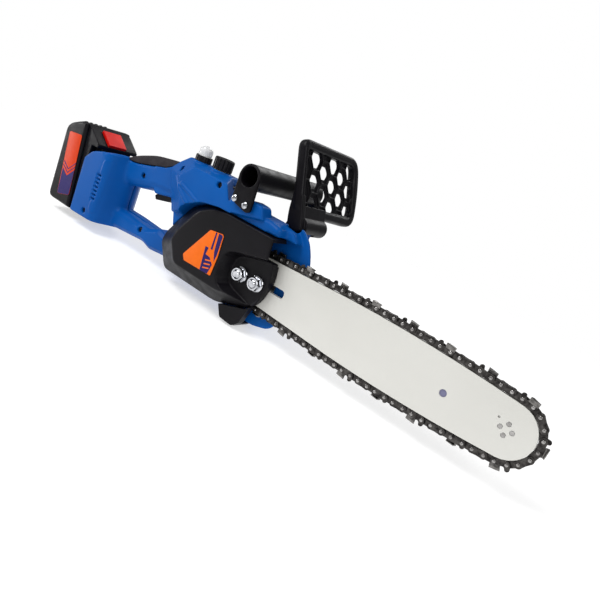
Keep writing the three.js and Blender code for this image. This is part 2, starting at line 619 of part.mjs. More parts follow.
// An outline squeezed towards its middle by a wall's thickness.
function shrunk(points, wall) {
  const span = (axis) => {
    const values = points.map((point) => point[axis]);
    return [Math.min(...values), Math.max(...values)];
  };
  const [[left, right], [low, high]] = [span(0), span(1)];
  const squeeze = (value, from, to) => {
    const middle = (from + to) / 2;
    return middle + ((value - middle) * (to - from - 2 * wall)) / (to - from);
  };
  return points.map(([x, z, radius]) => [squeeze(x, left, right), squeeze(z, low, high), radius]);
}

function sprocketCover() {
  const pivot = { x: 99, z: 50 };
  const slope = 0.8;
  const shell = plate(COVER_RIM, -10, -3).add(tapered(COVER_RIM, -10, -28, slope, pivot));
  const inside = shrunk(COVER_RIM, 2.8);
  const hollow = plate(inside, -11, 2).add(tapered(inside, -10.99, -25, slope, pivot));
  const pad = plate([[44, -24, 10], [108, -44], [108, 38], [44, 22, 10]], -26, -2.8)
    .intersect(shell);
  const troughSide = [[54, -17, 12], [120, -32], [120, 30], [54, 15, 12]];
  const trough = tapered(troughSide, -14, -29, 1.12, { x: 120, z: -1 });
  const frontGap = plate([[72, 25], [130, 25], [130, 46], [72, 46]], -24.8, 6);
  const studHoles = STUDS_X.map((x) => rod(x, STUD_Z, STUD_RADIUS + 0.4, -40, 10));
  const exit = box([88, 130], [-2.9, 6], [-50, 60]);
  const chainRoom = [box([30, 130], [-5.5, 6], [22.5, 44]), box([30, 130], [-5.5, 6], [-41, -24.5])];
  const lip = plate([[86, 49.8], [86, 45], [98.5, 46.3], [96, 50.2], [90, 50.2]], -24, -3);
  return cut(shell.subtract(hollow).add(pad).add(lip), [trough, frontGap, exit, ...chainRoom, ...studHoles]);
}

function barNut(x) {
  const flange = rod(x, STUD_Z, 8.5, -15.9, -14.3, 24);
  const hex = rod(x, STUD_Z, 7.5, -22, -15.5, 6);
  return flange.add(hex).subtract(rod(x, STUD_Z, STUD_RADIUS + 0.4, -30, 0, 20));
}

function coverAssembly() {
  add('sprocket_cover', sprocketCover(), BLACK);
  const label = [[22.5, 27, 1], [41, 29.4, 3], [43, 6, 1], [42, -15.5, 1], [2, -16.5, 1], [-2, -11, 2]];
  add('cover_label', plate(label, -28.8, -28.3), ORANGE);
  STUDS_X.forEach((x, index) => add(`bar_nut_${index + 1}`, barNut(x), CHROME));
  const chuteSide = [[53, -41.9], [60.5, -54, 2], [78, -55, 2], [85, -49, 2], [91.5, -26.5], [88.3, -30.7]];
  const chute = plate(chuteSide, -14, -4.5);
  const floor = plate([[62, -51.5], [64, -56], [77, -56], [82, -51.5]], -8, 16);
  add('chip_guide', chute.add(floor), BLACK);
}

// ---------------------------------------------------------------- drive train

function driveTrain() {
  const pitchGear = (GEAR_MODULE * GEAR_TEETH) / 2;
  const pitchPinion = (GEAR_MODULE * PINION_TEETH) / 2;
  const [gearFrom, gearTo] = GEAR_Y;
  add('output_shaft', turned([
    [0, -12], [SHAFT_RADIUS, -11.5], [SHAFT_RADIUS, 30.6], [3.4, 31.2], [0, 31.2],
  ], 0, 0, 24), STEEL);
  add('drive_sprocket', driveSprocket(), STEEL);
  const clipOpening = box([-2, 2], [-9, 0], [0, 9]);
  add('sprocket_clip', cut(rod(0, 0, 6.5, -7, -6), [rod(0, 0, 4.3, -8, -5), clipOpening]), STEEL);
  const gear = toothed(GEAR_TEETH, pitchGear - 1.9, pitchGear + 1.3, gearFrom, gearTo)
    .subtract(rod(0, 0, SHAFT_RADIUS + GAP, 0, 40));
  add('driven_gear', gear, STEEL);
  const bearingRing = (inner, outer) =>
    turned([[inner, 9], [outer, 9], [outer, 15.5], [inner, 15.5]], 0, 0, 28);
  add('shaft_bearing_inner', bearingRing(4.3, 6.4), STEEL);
  add('shaft_bearing_outer', bearingRing(8.4, 11), STEEL);
  const halfTooth = Math.PI / PINION_TEETH;
  const [pinionRoot, pinionTip] = [pitchPinion - 1.9, pitchPinion + 1.3];
  const pinion = toothed(PINION_TEETH, pinionRoot, pinionTip, gearFrom - 0.4, gearTo, halfTooth)
    .translate([MOTOR_AXIS.x, 0, MOTOR_AXIS.z])
    .subtract(rod(MOTOR_AXIS.x, MOTOR_AXIS.z, 2.8, 0, 40, 20));
  add('motor_pinion', pinion, STEEL);
  const plateBlank = plate([[-18, -24, 6], [57, -24, 6], [57, 24, 6], [-18, 24, 6]], 28, 31);
  const plateHoles = [rod(0, 0, 4.6, 20, 40), rod(MOTOR_AXIS.x, MOTOR_AXIS.z, 5, 20, 40)];
  add('gearbox_plate', cut(plateBlank, plateHoles), ALUMINIUM);
  const can = turned([
    [5, 31.4], [22.5, 31.4], [22.5, 74], [6, 74], [6, 72], [20.5, 72], [20.5, 33.4], [5, 33.4],
  ], MOTOR_AXIS.x, MOTOR_AXIS.z, 24);
  const canWindow = box([-26, 26], [60, 70], [-6, 6]).translate([MOTOR_AXIS.x, 0, MOTOR_AXIS.z]);
  add('motor_can', can.subtract(canWindow), STEEL);
  const rotor = turned([
    [0, 19], [2.5, 19], [2.5, 38], [17.5, 38], [17.5, 60], [9, 62], [9, 69], [2.5, 69], [2.5, 83], [0, 83],
  ], MOTOR_AXIS.x, MOTOR_AXIS.z, 24);
  add('motor_rotor', rotor, COPPER);
  const blades = Array.from({ length: 9 }, (_, blade) =>
    box([6, 19], [75.6, 81], [-0.7, 0.7]).rotate([0, 40 * blade, 0]));
  const fan = union([rod(0, 0, 7, 75.6, 81.5, 20), rod(0, 0, 19, 80, 81.2, 24), ...blades])
    .translate([MOTOR_AXIS.x, 0, MOTOR_AXIS.z])
    .subtract(rod(MOTOR_AXIS.x, MOTOR_AXIS.z, 2.8, 70, 90, 20));
  add('cooling_fan', fan, BLACK);
}

// ---------------------------------------------------------------- handles and controls

function frontHandle() {
  const { x, z, outer, inner, from, to } = TUBE;
  const tube = rod(x, z, outer, from, to, 28);
  const near = plate([[33.8, 93], [35, 65, 3], [57, 59.5, 3], [62, 62, 2], [59.2, 93]], from, from + 3.4);
  const far = plate([[33.8, 93], [20, 12, 5], [20, 0, 5], [46, 0, 5], [46, 12, 5], [59.2, 93]], to - 3, to);
  const bore = rod(x, z, inner, from - 5, to + 5, 24);
  const nearHoles = NEAR_SCREWS.map((place) => rod(place.x, place.z, 2.3, from - 5, from + 5, 12));
  const farHole = rod(FAR_SCREW.x, FAR_SCREW.z, 2.3, to - 5, to + 5, 12);
  return cut(union([tube, near, far]), [bore, ...nearHoles, farHole]);
}

function handleScrews() {
  const { from, to } = TUBE;
  NEAR_SCREWS.forEach(({ x, z }, index) => {
    const profile = [
      [0, from - 2.2], [3, from - 2], [3.6, from - 0.3], [1.8, from - 0.3], [1.8, -14], [0, -13],
    ];
    add(`handle_screw_${index + 1}`, turned(profile, x, z, 12), CHROME);
  });
  const profile = [[0, 82.3], [1.8, 83], [1.8, to + 0.3], [3.6, to + 0.3], [3, to + 2], [0, to + 2.2]];
  add('handle_screw_3', turned(profile, FAR_SCREW.x, FAR_SCREW.z, 12), CHROME);
}

// The panel is drawn upright around the guard's pivot: a rim, and inside it a sheet with six-sided cells
// sunk into its front. Every cell but those at the edges has a smaller hole through its floor.
function guardPanel() {
  const half = GUARD_DEPTH / 2;
  const rim = [[3, 11, 10], [120, 7, 18], [124, 50, 40], [118, 86, 18], [3, 86, 11]];
  const window = [[10, 20, 5], [113, 18, 12], [110, 76, 8], [10, 76, 5]];
  const ring = bulkhead(rim, -half, half, { round: 3.4, steps: 1 })
    .subtract(bulkhead(window, -half - 1, half + 1));
  const sheet = bulkhead([[8, 18], [115, 16], [112, 78], [8, 78]], SHEET.back, SHEET.front);
  return ring.add(cut(sheet, [...guardCells(), ...guardHoles()]));
}

const SHEET = { back: -1.8, floor: 0.4, front: 3 };

// Where the cells of a column stand, from the lowest up.
function cellHeights(column) {
  const lowest = column % 2 === 0 ? 23.6 : 12;
  return [0, 1, 2, 3].map((row) => lowest + row * CELL_ROW);
}

function hexagon(y, z, halfWidth, halfHeight) {
  const slant = halfWidth / 2;
  return [
    [y - halfWidth, z], [y - slant, z - halfHeight], [y + slant, z - halfHeight],
    [y + halfWidth, z], [y + slant, z + halfHeight], [y - slant, z + halfHeight],
  ];
}

function guardCells() {
  const rib = 1.6;
  const halfWidth = (CELL_COLUMN * 2) / 3 - rib / 2;
  const halfHeight = (CELL_ROW - rib) / 2;
  return [-3, -2, -1, 0, 1, 2, 3].flatMap((column) => cellHeights(column).map((z) =>
    bulkhead(hexagon(GUARD_MIDDLE_Y + column * CELL_COLUMN, z, halfWidth, halfHeight), SHEET.floor, 5)));
}

function guardHoles() {
  const lastRow = 2;
  return [-2, -1, 0, 1, 2].flatMap((column) => cellHeights(column).flatMap((z, row) => {
    const isBelow = column % 2 !== 0 && row === 0;
    if (row > lastRow || isBelow) return [];
    const isTop = column % 2 === 0 && row === lastRow;
    const [halfWidth, halfHeight] = isTop ? [11.2, 9] : [9.6, 6.6];
    return [bulkhead(hexagon(GUARD_MIDDLE_Y + column * CELL_COLUMN, z, halfWidth, halfHeight), -5, 5)];
  }));
}

// The hub is a tube round the housing's lug, open below where the lug's neck comes through.
function handGuard() {
  const half = GUARD_DEPTH / 2;
  const near = 4;
  const armSide = [[-11, 2, 3], [-2, -6.5, 3], [6.5, -5, 3], [half, 30], [-half, 34], [-10, 16, 8]];
  const arm = plate(armSide, near, HUB.from + 0.5);
  const neckOpening = plate([[0, 0], [9, -13], [0, -18], [-13, -9]], LUG.from - GAP, LUG.to + GAP);
  const hub = rod(0, 0, HUB.radius, HUB.from, HUB.to, 28)
    .add(box([-half, half], [HUB.from, HUB.to], [0, 20]))
    .subtract(rod(0, 0, HUB.cavity, LUG.from - GAP, LUG.to + GAP, 24))
    .subtract(neckOpening);
  return union([guardPanel(), arm, hub]).subtract(rod(0, 0, 2.9, 6.2, 80, 16));
}

// The housing's share of the guard's hinge.
function guardLug() {
  return rod(GUARD_PIVOT.x, GUARD_PIVOT.z, LUG.radius, LUG.from, LUG.to)
    .add(box([GUARD_PIVOT.x - 4, GUARD_PIVOT.x + 4], [LUG.from, LUG.to], [47, GUARD_PIVOT.z]))
    .subtract(rod(GUARD_PIVOT.x, GUARD_PIVOT.z, 2.8, 0, 70, 16));
}

function guardAssembly() {
  const guard = add('hand_guard', handGuard(), BLACK);
  guard.position.set(GUARD_PIVOT.x, 0, GUARD_PIVOT.z);
  guard.rotation.y = -GUARD_LEAN;
  add('guard_pin', rod(GUARD_PIVOT.x, GUARD_PIVOT.z, 2.5, 6.5, 52.5, 16), STEEL);
}

function controls() {
  const { x, z } = TRIGGER_PIVOT;
  const bladeSide = [
    [-109.5, 19], [-106.5, 14.5], [-80, 20.5, 5], [-66.8, 29], [-66.5, 35], [-70, 37.5], [-97, 31],
  ];
  const blade = plate(bladeSide, 10, 24, { round: 1.5 });
  add('trigger', blade.subtract(rod(x, z, 1.8, 0, 40, 12)), BLACK);
  add('trigger_pin', rod(x, z, 1.5, 5, 29, 12), STEEL);
  const turns = 2;
  const coil = new THREE.CatmullRomCurve3(Array.from({ length: 8 * turns + 1 }, (_, step) => {
    const angle = (step * Math.PI) / 4;
    return new THREE.Vector3(x + 3.2 * Math.cos(angle), 24.9 + step * 0.16, z + 3.2 * Math.sin(angle));
  }));
  const wire = new THREE.Shape(new THREE.Path().absarc(0, 0, 0.45, 0, 2 * Math.PI).getPoints(5).slice(1));
  const sweep = { steps: 8 * turns, bevelEnabled: false, extrudePath: coil };
  const spring = new THREE.ExtrudeGeometry(wire, sweep);
  add('trigger_spring', solid(spring), STEEL);
  const body = box([-121.3, -103], [7, 27], [33, 47.5]);
  const plunger = box([-103.5, -100.5], [14, 20], [38, 44]);
  add('switch_module', body.add(plunger), BLACK);
  add('lock_button', turned([[0, 24], [4, 24], [4, 35.5], [3, 37], [0, 37]], -88, 46, 20), BLACK);
  add('controller_board', union([
    box([-168, -140], [10, 11.8], [-36, -25]),
    box([-162, -150], [11.7, 20], [-34, -26]),
    box([-147, -142], [11.7, 17], [-34, -27]),
  ]), CIRCUIT);
  add('terminal_block', box([-198.1, -190], [-3, 31], [-37, -20]), BLACK);
}

// ---------------------------------------------------------------- oil system

function oilSystem() {
  const tankShell = box([-36, 4], [-14.8, 12.3], [52.2, 76]);
  const inside = box([-33.5, 1.5], [-12.3, 9.8], [54.7, 73.5]);
  const neck = post(CAP.x, CAP.y, 8.7, 75.5, CAP.top - 5.5);
  const neckBore = post(CAP.x, CAP.y, 7, 73, 95);
  add('oil_tank', cut(tankShell.add(neck), [inside, neckBore]), MILKY);
  const ribs = 20;
  const knurl = new THREE.Shape(Array.from({ length: 2 * ribs }, (_, step) => {
    const radius = step % 2 ? 10.2 : 10.8;
    const angle = (step * Math.PI) / ribs;
    return new THREE.Vector2(CAP.x + radius * Math.cos(angle), CAP.y + radius * Math.sin(angle));
  }));
  const cap = slab(knurl, 83, CAP.top).subtract(post(CAP.x, CAP.y, 9.1, 80, CAP.top - 3.3));
  add('oil_cap', cap, BLACK);
  const [sealFrom, sealTo] = [CAP.top - 5.1, CAP.top - 3.7];
  const seal = [[6.4, sealFrom], [8.7, sealFrom], [8.7, sealTo], [6.4, sealTo]];
  add('oil_cap_gasket', turnedUp(seal, CAP.x, CAP.y), RED);
  add('primer_collar', turnedUp([[8, 82.4], [9.2, 82.4], [9.2, 88.5], [8, 88.5]], BULB.x, BULB.y), BLACK);
  add('primer_bulb', turnedUp([
    [0, 87], [7.4, 87], [7.4, 92.5], [6.8, 95.3], [5.2, 97.8], [2.8, 99.1], [0, 99.5],
  ], BULB.x, BULB.y, 28), CLEAR);
  const run = new THREE.CatmullRomCurve3([
    new THREE.Vector3(9, 2, 46.5), new THREE.Vector3(18, 2, 46.5), new THREE.Vector3(23, 2, 46.5),
  ]);
  const section = new THREE.Shape(new THREE.Path().absarc(0, 0, 1.8, 0, 2 * Math.PI).getPoints(8).slice(1));
  const tube = new THREE.ExtrudeGeometry(section, { steps: 2, bevelEnabled: false, extrudePath: run });
  add('oil_tube', solid(tube), CLEAR);
}

// ---------------------------------------------------------------- battery pack

const CASE_SIDE = [
  [-262, -45, 8], [-262, 48, 9], [-255, 55, 6], [-234, 63, 8], [-225, 62.8], [-217.5, -45],
];
const FRONT_SIDE = [
  [-217.2, -45], [DOCK_X - GAP, -45, 2], [DOCK_X - GAP, 41], [-199, 41, 1], [-197.5, 45, 2],
  [-219, 59.6, 3], [-224.7, 62.4],
];

// A block lying on the sloping top, its middle `rise` above the button's place.
function slopedBlock(length, width, height, rise) {
  return solid(new THREE.BoxGeometry(length, width, height)
    .translate(0, 0, rise)
    .rotateY(BUTTON.lean)
    .translate(BUTTON.x, BUTTON.y, BUTTON.z));
}

function batteryPack() {
  const [near, far] = PACK_Y;
  const cellRoom = box([-260.9, DOCK_X], [near + 4.7, far - 4.7], [-39, 55.5]);
  add('battery_case', plate(CASE_SIDE, near, far, { round: 3 }).subtract(cellRoom), BLACK);
  const front = plate(FRONT_SIDE, near + 4, far - 4);
  const rails = box([-211.5, -199.2], [-7, 35], [-18, 41.2]);
  const buttonRoom = slopedBlock(23.8, 27.2, 9.2, -1);
  add('battery_top', front.add(rails).subtract(buttonRoom), BLACK);
  add('battery_button', slopedBlock(23, 26.4, 5, -0.3), RED);
  const label = [[-243.5, -35.5, 3], [-220, -29.5, 3], [-227, 46.5, 3], [-252, 44, 3]];
  add('battery_label', plate(label, near - 0.8, near - 0.3), ORANGE);
  add('cell_pack', cellPack(near + 5, far - 5), CELL);
}

// Two columns of five cells, held together by a plate at their far ends.
function cellPack(from, to) {
  const cells = [];
  for (let column = 0; column < 2; column += 1) {
    for (let row = 0; row < 5; row += 1) {
      cells.push(rod(-251.6 + 18.3 * column, -29.3 + 18.4 * row, 9, from, to, 12));
    }
  }
  return union([...cells, box([-256, -226], [to - 3, to], [-36, 52])]);
}

barFittings();
tensioner();
housingHalves();
coverAssembly();
driveTrain();
add('front_handle', frontHandle(), BLACK);
handleScrews();
guardAssembly();
controls();
oilSystem();
batteryPack();

const chainsaw = new THREE.Group();
chainsaw.name = 'chainsaw';
saw.position.set(-FOOT.x, -FOOT.y, -FOOT.z);
chainsaw.add(saw);

export default chainsaw;
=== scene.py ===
"""The looks of a battery chainsaw, built round its CAD frame. Shapes are drawn in millimetres about the drive
sprocket's axis: X along the bar to its tip, Y to the saw's left, Z up. piece() scales them to metres."""

import json
import math

import bmesh
import bpy
import numpy as np
from mathutils import Matrix, Vector

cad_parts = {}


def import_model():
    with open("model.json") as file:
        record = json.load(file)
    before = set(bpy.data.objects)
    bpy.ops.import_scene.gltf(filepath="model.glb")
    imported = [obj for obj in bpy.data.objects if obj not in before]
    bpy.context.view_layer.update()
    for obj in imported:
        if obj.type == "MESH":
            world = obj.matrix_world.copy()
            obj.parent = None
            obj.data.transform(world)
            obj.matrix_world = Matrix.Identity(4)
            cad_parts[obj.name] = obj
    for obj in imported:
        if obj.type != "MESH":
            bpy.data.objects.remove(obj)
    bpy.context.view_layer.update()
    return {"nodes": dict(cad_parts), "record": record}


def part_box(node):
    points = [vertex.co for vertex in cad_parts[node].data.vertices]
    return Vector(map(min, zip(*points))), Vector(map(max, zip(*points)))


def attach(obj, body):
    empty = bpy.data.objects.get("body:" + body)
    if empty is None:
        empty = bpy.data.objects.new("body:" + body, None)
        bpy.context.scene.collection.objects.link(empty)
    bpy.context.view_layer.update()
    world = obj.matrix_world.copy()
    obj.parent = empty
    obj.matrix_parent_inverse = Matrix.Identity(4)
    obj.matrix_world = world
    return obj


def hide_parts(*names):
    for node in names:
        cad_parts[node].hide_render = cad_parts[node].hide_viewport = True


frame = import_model()

# ---------------------------------------------------------------- sizes, in millimetres

MM = 0.001


def middle(node):
    low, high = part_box(node)
    return (low + high) / 2


AXIS = Vector((middle("drive_sprocket").x, middle("guide_bar").y, middle("drive_sprocket").z))

DRIVE_LINKS = 45
TIE_SPACING = 10.065
DRIVE_SPACING = 8.985
DRIVE_PITCH_RADIUS = 18.4
NOSE_PITCH_RADIUS = 28.4
NOSE_START = math.radians(84)
BAR_ENTRY = (55.2, 28.2)
BAR_SHOULDER = (157.0, 32.6)
BAR_BULGE = 4.1
STRAP_FACES = (0.75, 2.15)
RIVET_RADIUS = 1.45

BAR_RECESS = (297.5, -1.3)
BAR_RECESS_RADIUS = 3.4
BAR_RECESS_FLOOR = -0.95

NUT_CORNER = 7.5
NUT_FLANGE = 8.5
NUT_BORE = 4.3
THREAD_PITCH = 1.25
SCREW_HEAD = 3.0

TUBE_MIDDLE = (46.5, 93.0)
TUBE_OUTER = 12.7
TUBE_INNER = 10.2
HANDLE_SCREW_HOLE = 2.2

GUARD_LEAN = math.radians(20)
GUARD_MIDDLE = 66.8
GUARD_WINDOW = (10.5, 112.5, 19.5, 76.5)
CELL_COLUMN = 18.4
CELL_ROW = 23.2
LOWEST_CELL = 12.0
SMALLEST_CELL_AREA = 6.0
HUB = (11, 53)
HUB_RADIUS = 9.5
LUG_ROOM = (12.7, 34.3)

CAP_RADIUS = 10.8
BULB_RADIUS = 7.4
COLLAR_RADIUS = 9.2
INK = 0.12


def centre(node):
    """The middle of a CAD node in the saw's own millimetres."""
    return (middle(node) - AXIS) / MM


def span(node):
    """The lowest and highest corner of a CAD node in the saw's own millimetres."""
    low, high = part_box(node)
    return (low - AXIS) / MM, (high - AXIS) / MM


NOSE = (centre("nose_rivet_1") + centre("nose_rivet_3")) / 2

# Local drawings are (u, v, w), with v up. A side drawing has u along X and w to the left; a front drawing has
# u to the left and w along X.
SIDE = Matrix(((1, 0, 0, 0), (0, 0, 1, 0), (0, 1, 0, 0), (0, 0, 0, 1)))
FRONT = Matrix(((0, 0, 1, 0), (1, 0, 0, 0), (0, 1, 0, 0), (0, 0, 0, 1)))

# ---------------------------------------------------------------- materials


def principled(name, roughness, metallic=0.0, specular=0.5):
    material = bpy.data.materials.new(name)
    material.use_nodes = True
    shader = material.node_tree.nodes["Principled BSDF"]
    shader.inputs["Roughness"].default_value = roughness
    shader.inputs["Metallic"].default_value = metallic
    shader.inputs["Specular IOR Level"].default_value = specular
    return material


def grain(material, scale, detail=4.0, stretch=(1, 1, 1)):
    """A noise that stays with the piece; scale is in features per metre."""
    nodes = material.node_tree.nodes
    links = material.node_tree.links
    place = nodes.new("ShaderNodeTexCoord")
    mapping = nodes.new("ShaderNodeMapping")
    mapping.inputs["Scale"].default_value = stretch
    noise = nodes.new("ShaderNodeTexNoise")
    noise.inputs["Scale"].default_value = scale
    noise.inputs["Detail"].default_value = detail
    links.new(place.outputs["Object"], mapping.inputs["Vector"])
    links.new(mapping.outputs["Vector"], noise.inputs["Vector"])
    return noise.outputs["Fac"]


def ramp(material, value, stops):
    """A colour ramp over value, with stops as (position, colour)."""
    node = material.node_tree.nodes.new("ShaderNodeValToRGB")
    elements = node.color_ramp.elements
    while len(elements) < len(stops):
        elements.new(0.5)
    for element, (position, colour) in zip(elements, stops):
        element.position = position
        element.color = (*colour, 1)
    material.node_tree.links.new(value, node.inputs["Fac"])
    return node.outputs["Color"]


def colour_from(material, value, dark, light, low=0.35, high=0.65):
    shader = material.node_tree.nodes["Principled BSDF"]
    colour = ramp(material, value, [(low, dark), (high, light)])
    material.node_tree.links.new(colour, shader.inputs["Base Color"])
    return colour


def roughness_from(material, value, smooth, rough):
    node = material.node_tree.nodes.new("ShaderNodeMapRange")
    node.inputs["From Min"].default_value = 0.35
    node.inputs["From Max"].default_value = 0.65
    node.inputs["To Min"].default_value = smooth
    node.inputs["To Max"].default_value = rough
    shader = material.node_tree.nodes["Principled BSDF"]
    material.node_tree.links.new(value, node.inputs["Value"])
    material.node_tree.links.new(node.outputs["Result"], shader.inputs["Roughness"])


def bump_from(material, value, height):
    """Relief of about height millimetres."""
    node = material.node_tree.nodes.new("ShaderNodeBump")
    node.inputs["Strength"].default_value = 0.6
    node.inputs["Distance"].default_value = height * MM
    shader = material.node_tree.nodes["Principled BSDF"]
    material.node_tree.links.new(value, node.inputs["Height"])
    material.node_tree.links.new(node.outputs["Normal"], shader.inputs["Normal"])


def worn_and_lit_edges(material, colour, worn_lit_colour):
    """Mixes a lighter colour in where the surface is sharply convex: partly rubbed wear, partly a painted
    highlight along the edges.
    """
    nodes = material.node_tree.nodes
    links = material.node_tree.links
    geometry = nodes.new("ShaderNodeNewGeometry")
    edge = nodes.new("ShaderNodeMapRange")
    edge.inputs["From Min"].default_value = 0.53
    edge.inputs["From Max"].default_value = 0.62
    mix = nodes.new("ShaderNodeMix")
    mix.data_type = "RGBA"
    mix.inputs["B"].default_value = (*worn_lit_colour, 1)
    links.new(geometry.outputs["Pointiness"], edge.inputs["Value"])
    links.new(edge.outputs["Result"], mix.inputs["Factor"])
    links.new(colour, mix.inputs["A"])
    links.new(mix.outputs["Result"], nodes["Principled BSDF"].inputs["Base Color"])


def blue_plastic():
    material = principled("blue_plastic", 0.4, specular=0.1)
    cloud = grain(material, 14, 3)
    colour = colour_from(material, cloud, (0.0001, 0.068, 0.295), (0.0004, 0.084, 0.35))
    # Lighter blue on sharp edges: painted highlight, with some rubbing.
    worn_and_lit_edges(material, colour, (0.003, 0.16, 0.50))
    roughness_from(material, grain(material, 60), 0.34, 0.46)
    bump_from(material, grain(material, 2600, 2), 0.05)
    return material


def black_plastic():
    material = principled("black_plastic", 0.4, specular=0.14)
    cloud = grain(material, 25, 4)
    colour = colour_from(material, cloud, (0.0026, 0.0022, 0.0034), (0.0046, 0.0040, 0.0058))
    # Lighter black on sharp edges: painted highlight, with some rubbing.
    worn_and_lit_edges(material, colour, (0.012, 0.011, 0.014))
    roughness_from(material, grain(material, 90), 0.33, 0.48)
    bump_from(material, grain(material, 2400, 2), 0.06)
    return material


def grip_rubber():
    material = principled("grip_rubber", 0.75, specular=0.25)
    colour_from(material, grain(material, 60, 4), (0.012, 0.009, 0.012), (0.020, 0.016, 0.020))
    roughness_from(material, grain(material, 150), 0.65, 0.82)
    bump_from(material, grain(material, 1500, 3), 0.12)
    return material


def steel():
    material = principled("steel", 0.35, metallic=1.0)
    colour_from(material, grain(material, 120, 5), (0.30, 0.29, 0.28), (0.48, 0.47, 0.46))
    roughness_from(material, grain(material, 400, 4, (1, 1, 0.2)), 0.26, 0.42)
    bump_from(material, grain(material, 3000, 2, (1, 1, 0.1)), 0.02)
    return material


def chain_steel():
    material = principled("chain_steel", 0.4, metallic=0.9)
    colour_from(material, grain(material, 260, 5), (0.018, 0.016, 0.016), (0.085, 0.080, 0.076))
    roughness_from(material, grain(material, 500), 0.28, 0.5)
    bump_from(material, grain(material, 2500, 3), 0.03)
    return material


def cutter_steel():
    material = principled("cutter_steel", 0.3, metallic=1.0)
    colour_from(material, grain(material, 220, 5), (0.10, 0.096, 0.092), (0.26, 0.25, 0.24))
    roughness_from(material, grain(material, 500), 0.2, 0.38)
    bump_from(material, grain(material, 2500, 3), 0.02)
    return material


def dark_steel():
    material = principled("dark_steel", 0.45, metallic=0.8)
    colour_from(material, grain(material, 200, 4), (0.010, 0.010, 0.012), (0.030, 0.030, 0.034))
    roughness_from(material, grain(material, 400), 0.36, 0.52)
    bump_from(material, grain(material, 2500, 3), 0.02)
    return material


def rivet_steel():
    material = principled("rivet_steel", 0.25, metallic=1.0)
    colour_from(material, grain(material, 300, 3), (0.20, 0.19, 0.185), (0.42, 0.41, 0.40))
    roughness_from(material, grain(material, 700), 0.16, 0.32)
    bump_from(material, grain(material, 3000, 2), 0.02)
    return material


def bar_paint():
    material = principled("bar_paint", 0.35, specular=0.4)
    cloud = grain(material, 9, 3, (0.4, 1, 1))
    colour_from(material, cloud, (0.57, 0.565, 0.53), (0.63, 0.625, 0.59))
    roughness_from(material, grain(material, 160, 4, (0.1, 1, 1)), 0.28, 0.42)
    bump_from(material, grain(material, 900, 3), 0.03)
    return material


def chrome():
    material = principled("chrome", 0.12, metallic=1.0)
    colour_from(material, grain(material, 200, 3), (0.42, 0.43, 0.46), (0.62, 0.63, 0.66))
    roughness_from(material, grain(material, 500), 0.07, 0.18)
    bump_from(material, grain(material, 1800, 3), 0.02)
    return material


def motor_copper():
    material = principled("motor_copper", 0.4, metallic=1.0)
    colour_from(material, grain(material, 150, 4, (1, 8, 1)), (0.42, 0.14, 0.05), (0.72, 0.30, 0.13))
    roughness_from(material, grain(material, 400), 0.3, 0.5)
    bump_from(material, grain(material, 1600, 2, (1, 0.1, 1)), 0.15)
    return material


def aluminium():
    material = principled("aluminium", 0.4, metallic=1.0)
    colour_from(material, grain(material, 90, 4), (0.44, 0.45, 0.46), (0.60, 0.61, 0.62))
    roughness_from(material, grain(material, 300), 0.34, 0.5)
    bump_from(material, grain(material, 1500, 4), 0.08)
    return material


def red_plastic():
    material = principled("red_plastic", 0.36, specular=0.18)
    colour_from(material, grain(material, 40, 3), (0.54, 0.004, 0.002), (0.64, 0.008, 0.003))
    roughness_from(material, grain(material, 110), 0.32, 0.44)
    bump_from(material, grain(material, 2200, 2), 0.05)
    return material


def print_ink(name, dark, light):
    """A thin layer of ink or paint in one colour."""
    material = principled(name, 0.4, specular=0.15)
    colour_from(material, grain(material, 180, 4), dark, light, 0.1, 0.9)
    roughness_from(material, grain(material, 260), 0.40, 0.50)
    bump_from(material, grain(material, 3000, 2), 0.01)
    return material


def clear_plastic():
    material = principled("clear_plastic", 0.18)
    shader = material.node_tree.nodes["Principled BSDF"]
    shader.inputs["Transmission Weight"].default_value = 0.35
    shader.inputs["IOR"].default_value = 1.35
    colour_from(material, grain(material, 80, 3), (0.88, 0.89, 0.90), (0.95, 0.95, 0.96))
    roughness_from(material, grain(material, 140), 0.12, 0.26)
    bump_from(material, grain(material, 600, 2), 0.03)
    return material


def tank_plastic():
    material = principled("tank_plastic", 0.45)
    material.node_tree.nodes["Principled BSDF"].inputs["Subsurface Weight"].default_value = 0.2
    colour_from(material, grain(material, 50, 3), (0.68, 0.68, 0.58), (0.76, 0.76, 0.68))
    roughness_from(material, grain(material, 160), 0.38, 0.52)
    bump_from(material, grain(material, 1200, 2), 0.06)
    return material


def circuit_board():
    material = principled("circuit_board", 0.45)
    colour_from(material, grain(material, 700, 2), (0.004, 0.09, 0.03), (0.01, 0.16, 0.06), 0.45, 0.55)
    roughness_from(material, grain(material, 400), 0.35, 0.5)
    bump_from(material, grain(material, 700, 2), 0.05)
    return material


def cell_wrap():
    material = principled("cell_wrap", 0.35)
    colour_from(material, grain(material, 60, 3), (0.02, 0.20, 0.22), (0.03, 0.26, 0.28))
    roughness_from(material, grain(material, 200), 0.28, 0.42)
    bump_from(material, grain(material, 900, 2), 0.04)
    return material


ORANGE_INK = print_ink("orange_ink", (0.72, 0.12, 0.003), (0.80, 0.145, 0.005))
RED_INK = print_ink("red_ink", (0.52, 0.034, 0.003), (0.60, 0.046, 0.005))
PURPLE_INK = print_ink("purple_ink", (0.014, 0.008, 0.085), (0.022, 0.012, 0.11))
CHAIN_STEEL = chain_steel()
